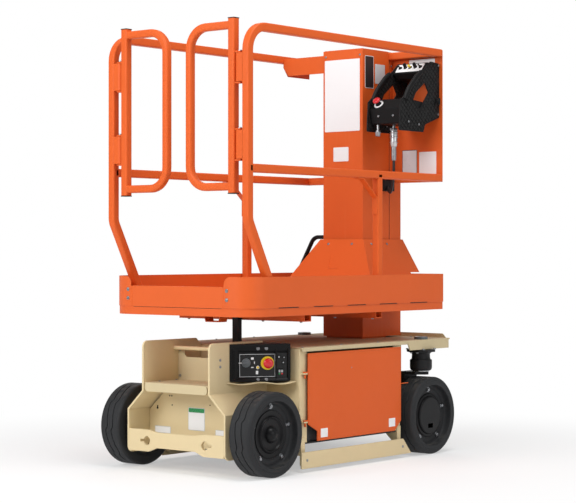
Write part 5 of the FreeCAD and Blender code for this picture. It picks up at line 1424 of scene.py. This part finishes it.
@dataclass
class ControlCable:
    """The cable under the controls and its two plugs."""

    radius: float = 0.0055
    plug: tuple[float, float] = (0.40055, -0.2447)
    capped: tuple[float, float] = (0.34455, -0.2047)
    top: float = 1.3547
    length: float = 0.25
    route: tuple[Triple, ...] = (
        (0.40055, -0.2447, 1.2084), (0.40055, -0.2447, 1.1640), (0.41419, -0.2307, 1.1210),
        (0.44376, -0.20035, 1.0810), (0.48014, -0.16301, 1.0790), (0.51425, -0.1280, 1.1130))

    def build(self) -> None:
        """Build the plugs and the cable."""
        self.plugs()
        curve = bpy.data.curves.new("control_cable_run", "CURVE")
        curve.dimensions = "3D"
        curve.resolution_u = 16
        curve.bevel_depth = self.radius
        curve.bevel_resolution = 5
        curve.use_fill_caps = True
        spline = curve.splines.new("NURBS")
        spline.points.add(len(self.route) - 1)
        for point, place in zip(spline.points, self.route):
            point.co = (*place, 1.0)
        spline.order_u = 3
        spline.use_endpoint_u = True
        curve.materials.append(CABLE.build())
        cable = linked("control_cable_run", curve)
        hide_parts("control_cable")
        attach(cable, "platform")

    def plugs(self) -> None:
        """Build the long ringed plug with its sleeve, and the short capped one."""
        piece = Piece("cable_plugs", "platform", Slot.GLAND, ZINC, BOLT_STEEL, PLASTIC)
        place = Matrix.Translation((*self.plug, self.top))
        piece.turned(place, [(0.0, 0.0), (0.0075, 0.0), (0.0075, -0.013), (0.0, -0.013)], 24)
        piece.turned(place, [(0.0, -0.012), (0.0160, -0.012), (0.0172, -0.0135), (0.0172, -0.0215),
                             (0.0160, -0.0230), (0.0, -0.0230)], 6, 1, True)
        body = [(0.0, -0.022), (0.0148, -0.022)]
        for start in (-0.026, -0.036, -0.046, -0.068):
            body += [(0.0148, start), (0.0166, start - 0.0010), (0.0169, start - 0.0030),
                     (0.0166, start - 0.0050), (0.0148, start - 0.0060)]
        body += [(0.0148, -0.078), (0.0134, -0.083), (0.0124, -0.088), (0.0, -0.088)]
        piece.turned(place, body, 40)
        sleeve = [(0.0, -0.087), (0.0105, -0.087), (0.0105, -0.130), (0.0098, -0.133), (0.0098, -0.139),
                  (0.0090, -0.1455), (0.0, -0.1455)]
        piece.turned(place, sleeve, 36, 1)
        short = Matrix.Translation((*self.capped, self.top))
        piece.turned(short, [(0.0, 0.0), (0.0055, 0.0), (0.0055, -0.0225), (0.0, -0.0225)], 20)
        cap = [(0.0, -0.022), (0.0095, -0.022), (0.0110, -0.024), (0.0110, -0.028), (0.0124, -0.029),
               (0.0124, -0.033), (0.0108, -0.035), (0.0108, -0.042), (0.0095, -0.046), (0.0070, -0.0478),
               (0.0, -0.0478)]
        piece.turned(short, cap, 32, 1)
        piece.done(["cable_gland"], smooth=40.0)


# ------------------------------------------------------------------ chassis fittings
@dataclass
class GroundControls:
    """The ground control box with its face turned to the rear corner, and its wavy shelf."""

    start: Pair = (-0.5476, -0.1745)
    corner: Pair = (-0.3696, -0.3120)
    front_x: float = -0.3430
    inner_y: float = -0.1736
    low: float = 0.3465
    high: float = 0.4868
    sunk: float = -0.009
    panel_floor: float = -0.0081
    waves: float = 2.0
    wave_height: float = 0.0035

    def build(self) -> None:
        """Build housing, dials and shelf."""
        run = Vector(self.corner) - Vector(self.start)
        along = run.normalized()
        out = Vector((along.y, -along.x, 0.0))
        face = placed((*self.start, 0.0), out)
        self.housing(face, run.length)
        self.knobs(face)
        self.shelf(out)

    def housing(self, face: Matrix, length: float) -> None:
        """Build the housing with its flanges, ridged end and recessed glossy panels.

        Args:
            face: Place of the slanted face: along it, up and outward.
            length: Its length.
        """
        piece = Piece("ground_control_housing", "chassis", Slot.CONTROL, PLASTIC, GLOSS_BLACK, PLATE_GREY,
                      PLATE_WHITE, PAINTED_SHADE_AND_JOINT_DARK, PLATE_GREEN, RED)
        sunk, end = (face @ Vector((along, 0.0, self.sunk)) for along in (0.0, length))
        plan = [(sunk.x, sunk.y), (end.x, end.y), (self.front_x - 0.012, self.corner[1] + 0.001),
                (self.front_x, self.corner[1] + 0.012), (self.front_x, self.inner_y), (sunk.x, self.inner_y)]
        piece.slab(Matrix(), rounded(plan, (0.0, 0.0, 0.004, 0.006, 0.0, 0.0), 3), self.low, self.high, 0.002)
        across = face @ Matrix(((0, 0, 1, 0), (0, 1, 0, 0), (-1, 0, 0, 0), (0, 0, 0, 1)))
        roof = [(0.0095, 0.4868), (-0.0045, 0.4868), (-0.0035, 0.4800), (0.0035, 0.4600), (0.0095, 0.4570)]
        sill = [(0.0095, 0.3465), (-0.0035, 0.3465), (-0.0025, 0.3520), (0.0035, 0.3600), (0.0095, 0.3610)]
        for outline in (roof, sill):
            piece.slab(across, rounded(outline, 0.001, 2), 0.0, length - 0.0005, 0.0008)
        for left, right, out in ((0.0, 0.0075, 0.0030), (0.0085, 0.0150, 0.0010), (0.0160, 0.0300, -0.0010),
                                 (0.1755, 0.1810, 0.0005), (0.2225, length, 0.0020)):
            piece.block((left, 0.3470, -0.010), (right, 0.4862, out), 0.0012, 0, face)
        panel = rect(0.0402, 0.3647, 0.1738, 0.4473)
        piece.slab(face, rect(0.0385, 0.3630, 0.1755, 0.4490), -0.0095, -0.0072, 0.0002, 2, [panel])
        piece.slab(face, panel, -0.0095, -0.0080, 0.0002, 1)
        piece.slab(face, rounded(rect(0.1822, 0.3610, 0.2215, 0.4530), 0.002, 2), -0.0095, -0.0060, 0.0004, 1)
        for x, z, radius in ((0.190, 0.437, 0.0068), (0.2095, 0.4355, 0.0052), (0.2065, 0.416, 0.0056)):
            spot = face @ Matrix.Translation((x, z, -0.0061))
            piece.turned(spot, [(radius * 0.55, 0.0004), (radius * 0.55, 0.0030), (radius * 0.85, 0.0034),
                                (radius, 0.0024), (radius, 0.0)], 24, 0)
            piece.turned(spot, [(0.0, 0.0016), (radius * 0.5, 0.0012), (radius * 0.5, 0.0002),
                                (0.0, 0.0002)], 16, 2)
        piece.block((0.1850, 0.3690, -0.0062), (0.2075, 0.3960, -0.0030), 0.001, 0, face)
        for x in (0.1880, 0.1980):
            for z in (0.3850, 0.3798):
                piece.block((x, z, -0.0032), (x + 0.0068, z + 0.0034, -0.0026), 0.0002, 2, face)
        for x, finish in ((0.1880, 5), (0.1980, 6)):
            piece.block((x, 0.3715, -0.0032), (x + 0.0065, 0.3765, -0.0024), 0.0003, finish, face)
        for x, z, wide, tall in ((0.088, 0.4325, 0.010, 0.008), (0.096, 0.4165, 0.0035, 0.009),
                                 (0.088, 0.3990, 0.010, 0.004), (0.1062, 0.3795, 0.009, 0.013)):
            mark = rect(x - wide / 2, z - tall / 2, x + wide / 2, z + tall / 2)
            piece.slab(face, mark, self.panel_floor, -0.0077, 0.0001, 3)
        # a small near-black strip on the front face: painted shade standing for a slot
        piece.block((self.front_x - 0.022, self.corner[1] + 0.0002, 0.4505),
                    (self.front_x - 0.013, self.corner[1] + 0.0016, 0.4530), 0.0003, 4)
        piece.done(["ground_control_box"], smooth=40.0)
        POST.place("ground_control_posts", "chassis", Slot.CONTROL,
                   [(face @ Vector((x, z, 0.0005)), face.col[2].to_3d())
                    for z in (0.4705, 0.3530) for x in (0.108, 0.140)])

    def knobs(self, face: Matrix) -> None:
        """Build the stop with its yellow ring, the key switch and the lamp.

        Args:
            face: Place of the slanted face.
        """
        piece = Piece("ground_control_dials", "chassis", Slot.KNOB, RED, YELLOW, CAP_GREY, PLATE_WHITE,
                      PLASTIC)
        stop, key, lamp = (face @ Matrix.Translation((x, z, self.panel_floor)) for x, z in
                           ((0.1460, 0.4145), (0.0640, 0.4160), (0.1090, 0.3985)))
        piece.turned(stop, [(0.0, 0.0030), (0.0240, 0.0030), (0.0255, 0.0020), (0.0257, 0.0), (0.0, 0.0)],
                     56, 1)
        piece.turned(stop, [(0.0, 0.0150), (0.0120, 0.0150), (0.0130, 0.0030), (0.0, 0.0030)], 36, 4)
        piece.turned(stop, [(0.0, 0.0262), (0.0080, 0.0257), (0.0140, 0.0242), (0.0178, 0.0216),
                            (0.0193, 0.0182), (0.0192, 0.0160), (0.0175, 0.0143), (0.0130, 0.0132),
                            (0.0, 0.0132)], 56)
        piece.turned(key, [(0.0, 0.0050), (0.0140, 0.0050), (0.0165, 0.0036), (0.0172, 0.0), (0.0, 0.0)],
                     48, 2)
        piece.turned(key, [(0.0, 0.0105), (0.0085, 0.0103), (0.0104, 0.0090), (0.0108, 0.0050),
                           (0.0, 0.0050)], 36, 2)
        piece.block((-0.0165, -0.0042, 0.0040), (0.0150, 0.0042, 0.0135), 0.0016, 2, key)
        piece.block((-0.0290, -0.0018, 0.0), (-0.0170, 0.0018, 0.0022), 0.0005, 3, key)
        piece.turned(lamp, [(0.0, 0.0046), (0.0032, 0.0040), (0.0046, 0.0022), (0.0046, 0.0), (0.0, 0.0)],
                     24, 1)
        piece.turned(lamp, [(0.0046, 0.0), (0.0046, 0.0018), (0.0060, 0.0018), (0.0066, 0.0)], 24, 3)
        piece.done(["ground_control_knobs"], smooth=48.0)

    def shelf(self, out: Vector) -> None:
        """Build the folded shelf under the box, wavy along its outer edge.

        Args:
            out: The slanted face's outward direction.
        """
        piece = Piece("control_shelf_sheet", "chassis", Slot.CREAM, CREAM)
        first = Vector((*self.start, 0.0)) + out * 0.006 + Vector((-0.020, 0.009, 0.0))
        bend = Vector((*self.corner, 0.0)) + Vector((-0.004, -0.0085, 0.0))
        last = Vector((self.front_x + 0.007, bend.y, 0.0))
        line = rounded([first, bend, last], (0.0, 0.006, 0.0), 3, closed=False)
        edge = [line[0].lerp(line[1], i / 22) for i in range(22)] + line[1:]
        reach = [0.0]
        for before, after in zip(edge, edge[1:]):
            reach.append(reach[-1] + (after - before).length)
        rings = []
        for point, travelled in zip(edge, reach):
            wave = self.wave_height * math.cos(math.tau * self.waves * travelled / reach[-1]) - 0.0045
            high, low = self.low - 0.0005 + wave, self.low - 0.0045 + wave
            rings.append([Vector((point.x, y, z)) for y, z in ((point.y, low), (point.y, high),
                                                               (self.inner_y, high), (self.inner_y, low))])
        piece.shell(rings, caps=True)
        piece.done(["control_shelf"], smooth=50.0)


@dataclass
class Doors:
    """Skins and blank plates of the side doors, and the bolts of the guard bars."""

    outer_y: float = 0.350
    rear_x: float = -0.29775
    front_x: float = 0.30425
    low: float = 0.112
    high: float = 0.448

    def build(self) -> None:
        """Dress both doors."""
        for side, sign in SIDES:
            self.door(side, sign)
            self.bar(side, sign)

    def door(self, side: str, sign: float) -> None:
        """Add one door's folded skin with its cut corners, its stud and blank plates.

        Args:
            side: "left" or "right".
            sign: 1 for left and -1 for right.
        """
        place, turn = placed((0.0, sign * self.outer_y, 0.0), (0.0, sign, 0.0)), -sign
        shape = [(self.rear_x, self.high), (self.front_x, self.high), (self.front_x, 0.150),
                 (self.front_x - 0.043, self.low), (self.rear_x + 0.056, self.low),
                 (self.rear_x + 0.056, 0.150), (self.rear_x, 0.180)]
        outline = [Vector((turn * x, z, 0.0)) for x, z in shape]
        rim, field = inset(outline, 0.0006), inset(outline, 0.0060)
        skin = Piece(f"door_{side}_skin", f"door_{side}", Slot.ORANGE, ORANGE, BOLT_STEEL, PAINTED_SHADE_AND_JOINT_DARK,
                     PLATE_WHITE)
        skin.slab(place, rounded(rim, 0.002, 2), -0.0004, 0.0009, 0.0006, 0, [field])
        skin.slab(place, rounded(field, 0.002, 2), -0.0004, 0.0003, 0.0003)
        stud = place @ Matrix.Translation((turn * -0.025, 0.3815, 0.0003))
        skin.turned(stud, [(0.0, 0.0006), (0.0022, 0.0005), (0.0028, 0.0), (0.0, 0.0)], 16, 1)
        for x, z in ((-0.1990, 0.1405), (0.2420, 0.1470)):
            plate = rect(turn * x - 0.0215, z - 0.0170, turn * x + 0.0215, z + 0.0170)
            skin.slab(place, rounded(plate, 0.002, 2), 0.0002, 0.0008, 0.0001, 3)
        skin.done()

    def bar(self, side: str, sign: float) -> None:
        """Add the bolts that hold one guard bar to its lugs."""
        low, high = corners_of(f"guard_bar_{side}")
        y = high.y if sign > 0 else low.y
        spots = [((x, y + sign * 0.0001, 0.046), (0.0, sign, 0.0)) for x in (-0.318, 0.300)]
        PAN_SCREW.place(f"guard_bar_{side}_bolts", f"guard_{side}", Slot.CREAM, spots)


@dataclass
class RearEnd:
    """Plates, holes and bolts of the rear step, panel and cheeks, and the deck's bolts."""

    panel_x: float = -0.54375
    riser_x: float = -0.46375
    cheek_y: float = 0.167
    cheek_outer_y: float = 0.1731
    step_top: float = 0.3362
    deck_top: float = 0.4702

    def build(self) -> None:
        """Add the rear end's fittings."""
        face = placed((self.panel_x, 0.0, 0.0), BACK)
        plates = Piece("rear_panel_plates", "chassis", Slot.CREAM, PLATE_WHITE, PLATE_GREEN, PLATE_GREY)
        blank_plate(plates, face, (-0.0462, 0.1530), (0.0390, 0.2400), 0.005, rim=2)
        blank_plate(plates, face, (0.1305, 0.1330), (0.2135, 0.1600), 0.002, rim=2)
        blank_plate(plates, face, (-0.1608, 0.1330), (-0.1000, 0.1620), 0.002, rim=2)
        plates.slab(face, rounded(rect(-0.0360, 0.2215, 0.0435, 0.2372), 0.003, 3), 0.0008, 0.0011, 0.0001, 1)
        plates.done()
        holes = Piece("rear_holes", "chassis", Slot.CREAM, PAINTED_SHADE_AND_JOINT_DARK)
        spots = [(placed((self.panel_x - 0.0001, y, z), BACK), radius, 20) for y, z, radius in
                 ((0.2000, 0.2290, 0.0048), (0.2000, 0.2360, 0.0036), (0.1360, 0.2790, 0.0030),
                  (0.1250, 0.2790, 0.0030), (0.1230, 0.2440, 0.0030), (-0.0720, 0.2530, 0.0026))]
        spots += [(placed((x, self.cheek_y - 0.0002, 0.424), RIGHT), 0.0022, 16) for x in (-0.540, -0.4868)]
        # each hole is a near-black disc: painted shade standing for the opening
        for spot, radius, steps in spots:
            holes.turned(spot, [(0.0, 0.0003), (radius, 0.0003), (radius, -0.0002), (0.0, -0.0002)], steps)
        holes.done()
        bolts = [((x, y, self.step_top), UP) for x, y in
                 ((-0.5900, 0.1460), (-0.4900, 0.1500), (-0.5900, -0.1460), (-0.4900, -0.1460))]
        bolts += [((self.riser_x - 0.0002, y, z), BACK) for y in (-0.155, 0.155) for z in (0.352, 0.452)]
        bolts += [((-0.600, side * self.cheek_outer_y, z), (0.0, side, 0.0)) for z in (0.405, 0.430)
                  for side in (-1.0, 1.0)]
        PAN_SCREW.place("rear_step_bolts", "chassis", Slot.CREAM, bolts)
        places = [(x, y) for x in (-0.300, -0.060, 0.180) for y in (-0.325, 0.325)]
        places += [(0.640, y) for y in (-0.16, 0.16)]
        PAN_SCREW.place("deck_bolts", "chassis", Slot.CREAM, [((x, y, self.deck_top), UP) for x, y in places])


# ------------------------------------------------------------------ paint on the frame's nodes
class Paintwork:
    """Gives every frame node its finish by its name."""

    finishes: dict[str, Finish] = {
        "chassis_pan": STEEL_BLACK, "mast_well": STEEL_BLACK, "bay_walls": CREAM, "bay_dividers": CREAM,
        "nose_frame": CREAM, "deck": DECK_CREAM, "rear_cheeks": CREAM, "rear_panel": CREAM,
        "step": DECK_CREAM, "step_rod": CREAM, "tie_down_bar": CREAM, "ground_control_box": PLASTIC,
        "ground_control_knobs": GLOSS_BLACK, "control_shelf": CREAM, "batteries": BATTERY,
        "platform_post": STEEL_BLACK, "kingpin_caps": CAP_GREY, "steer_housings": STEEL_BLACK,
        "rear_axles": STEEL_BLACK, "guard_brackets": CREAM, "door_hinges": CREAM, "mast_base": MAST_ORANGE,
        "mast_stage_1": MAST_ORANGE, "mast_stage_2": MAST_ORANGE, "mast_stage_3": MAST_ORANGE,
        "mast_sleeve": MAST_ORANGE, "mast_cover": ORANGE, "mast_skirt": ORANGE,
        "platform_tray": FLOOR_ORANGE, "cross_beams": ORANGE, "rail_bridge": ORANGE, "console_panel": ORANGE,
        "control_guards": PLASTIC, "control_box": PLASTIC, "control_stop": RED, "cable_gland": ZINC,
        "control_cable": CABLE, "cable_clamp": PLASTIC, "cable_conduit": PLASTIC,
        "side_rail": ORANGE, "gate_caps": PLASTIC, "gate": ORANGE, "door": ORANGE, "guard_bar": CREAM,
        "knuckle": STEEL_BLACK, "tyre": RUBBER, "hub": HUB_BLACK,
    }

    def finish_of(self, node: str) -> Finish:
        """Return the finish of a node: its own, or that of its kind for a left, right, front or rear one."""
        while node not in self.finishes:
            node, _, end = node.rpartition("_")
            if not end:
                raise KeyError(node)
        return self.finishes[node]

    def apply(self) -> None:
        """Assign the finishes to the material slots of the frame's nodes."""
        for name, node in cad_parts.items():
            material = self.finish_of(name).build()
            for place in range(len(node.data.materials)):
                node.data.materials[place] = material
            if not node.data.materials:
                node.data.materials.append(material)
            LOG.info("painted %s with %s", name, material.name)


# ------------------------------------------------------------------ studio
@dataclass(frozen=True)
class Studio:
    """The room around the machine: camera, world, pale floor and lamps.

    Lengths are metres. The camera looks level from the machine's rear right corner.
    """

    camera_place: Triple = (-5.59075, -4.583, 0.844)
    camera_turn: float = -50.706
    lens: float = 111.8
    sensor: float = 36.0
    shift_y: float = -0.0043
    far: float = 60.0
    surroundings: float = 0.38
    floor_half: float = 14.0
    floor_drop: float = 0.0006
    white_share: Pair = (0.42, 0.58)
    white_reach: Pair = (0.7, 2.4)
    lamps: tuple[tuple[str, Triple, float, float, float], ...] = (
        ("key_lamp", (-4.6, 0.6, 2.8), 0.8, 2.4, 138.0), ("top_lamp", (-0.8, -1.8, 4.8), 0.8, 2.4, 115.0),
        ("side_lamp", (-0.4, -5.2, 2.2), 0.8, 2.6, 42.0), ("back_lamp", (3.8, 3.2, 3.0), 1.0, 2.2, 45.0))

    def build(self) -> None:
        """Make the camera, world, floor and lamps."""
        self.add_camera()
        self.add_world()
        self.add_floor()
        for lamp in self.lamps:
            self.add_lamp(*lamp)

    def add_camera(self) -> None:
        """Place the camera and make it the scene's."""
        data = bpy.data.cameras.new("camera")
        data.lens = self.lens
        data.sensor_width = self.sensor
        data.shift_y = self.shift_y
        data.clip_end = self.far
        camera = linked("camera", data)
        camera.location = self.camera_place
        camera.rotation_euler = (math.radians(90), 0.0, math.radians(self.camera_turn))
        bpy.context.scene.camera = camera

    def add_lamp(self, name: str, place: Triple, height: float, size: float, power: float) -> None:
        """Add a square soft lamp that faces the machine.

        Args:
            name: The lamp's name.
            place: Where it hangs.
            height: Height over the origin that it's aimed at.
            size: Length of its sides.
            power: Its power in watts.
        """
        data = bpy.data.lights.new(name, "AREA")
        data.size = size
        data.energy = power
        lamp = linked(name, data)
        lamp.location = place
        aim = Vector((0.0, 0.0, height)) - Vector(place)
        lamp.rotation_euler = aim.to_track_quat("-Z", "Y").to_euler()

    def add_world(self) -> None:
        """Make the even pale surroundings, which the camera alone sees as white."""
        world = bpy.data.worlds.new("studio")
        bpy.context.scene.world = world
        nodes = fresh_nodes(world)
        dim, white = (nodes.add("ShaderNodeBackground", {"Color": WHITE, "Strength": strength}).outputs[0]
                      for strength in (self.surroundings, 1.0))
        seen = nodes.add("ShaderNodeLightPath").outputs["Is Camera Ray"]
        choose = nodes.add("ShaderNodeMixShader", {0: seen, 1: dim, 2: white})
        nodes.add("ShaderNodeOutputWorld", {0: choose.outputs[0]})

    def add_floor(self) -> None:
        """Lay the pale floor, which keeps the machine's soft shadow and turns white further out."""
        half = self.floor_half
        mesh = bpy.data.meshes.new("floor")
        mesh.from_pydata([(x, y, -self.floor_drop) for x, y in rect(-half, -half, half, half)], [],
                         [(0, 1, 2, 3)])
        floor = linked("floor", mesh)
        material = bpy.data.materials.new("studio_floor")
        nodes = fresh_nodes(material)
        tint = nodes.mix(nodes.noise(0.6, 2.0), (0.86, 0.86, 0.865), (0.9, 0.9, 0.9))
        plain = nodes.add("ShaderNodeBsdfPrincipled", {"Base Color": tint, "Roughness": 0.85,
                                                       "Specular IOR Level": 0.15})
        white = nodes.add("ShaderNodeEmission", {"Strength": 1.0})
        rays = nodes.add("ShaderNodeLightPath").outputs
        seen = nodes.math("MAXIMUM", rays["Is Camera Ray"],
                          nodes.math("MAXIMUM", rays["Is Glossy Ray"], rays["Is Transmission Ray"]))
        away = nodes.add("ShaderNodeVectorMath", {0: nodes.place()}, operation="LENGTH").outputs["Value"]
        near, more = self.white_share
        share = nodes.plus(nodes.times(nodes.ramp(away, *self.white_reach), more), near)
        choose = nodes.add("ShaderNodeMixShader", {0: nodes.times(seen, share), 1: plain.outputs[0],
                                                   2: white.outputs[0]})
        nodes.add("ShaderNodeOutputMaterial", {0: choose.outputs[0]})
        mesh.materials.append(material)


def main() -> None:
    """Build the studio, paint the frame and add each sub-assembly's pieces in order."""
    logging.basicConfig(level=logging.INFO, format="%(name)s: %(message)s")
    bpy.context.scene.view_settings.view_transform = "Standard"
    Studio().build()
    Paintwork().apply()
    for assembly in ASSEMBLIES:
        assembly().build()


ASSEMBLIES: tuple[type, ...] = (ControlCable, Wheels, SteerGear, Rails, Platform, Mast, Console,
                                 GroundControls, Doors, RearEnd)

if __name__ == "__main__":
    main()
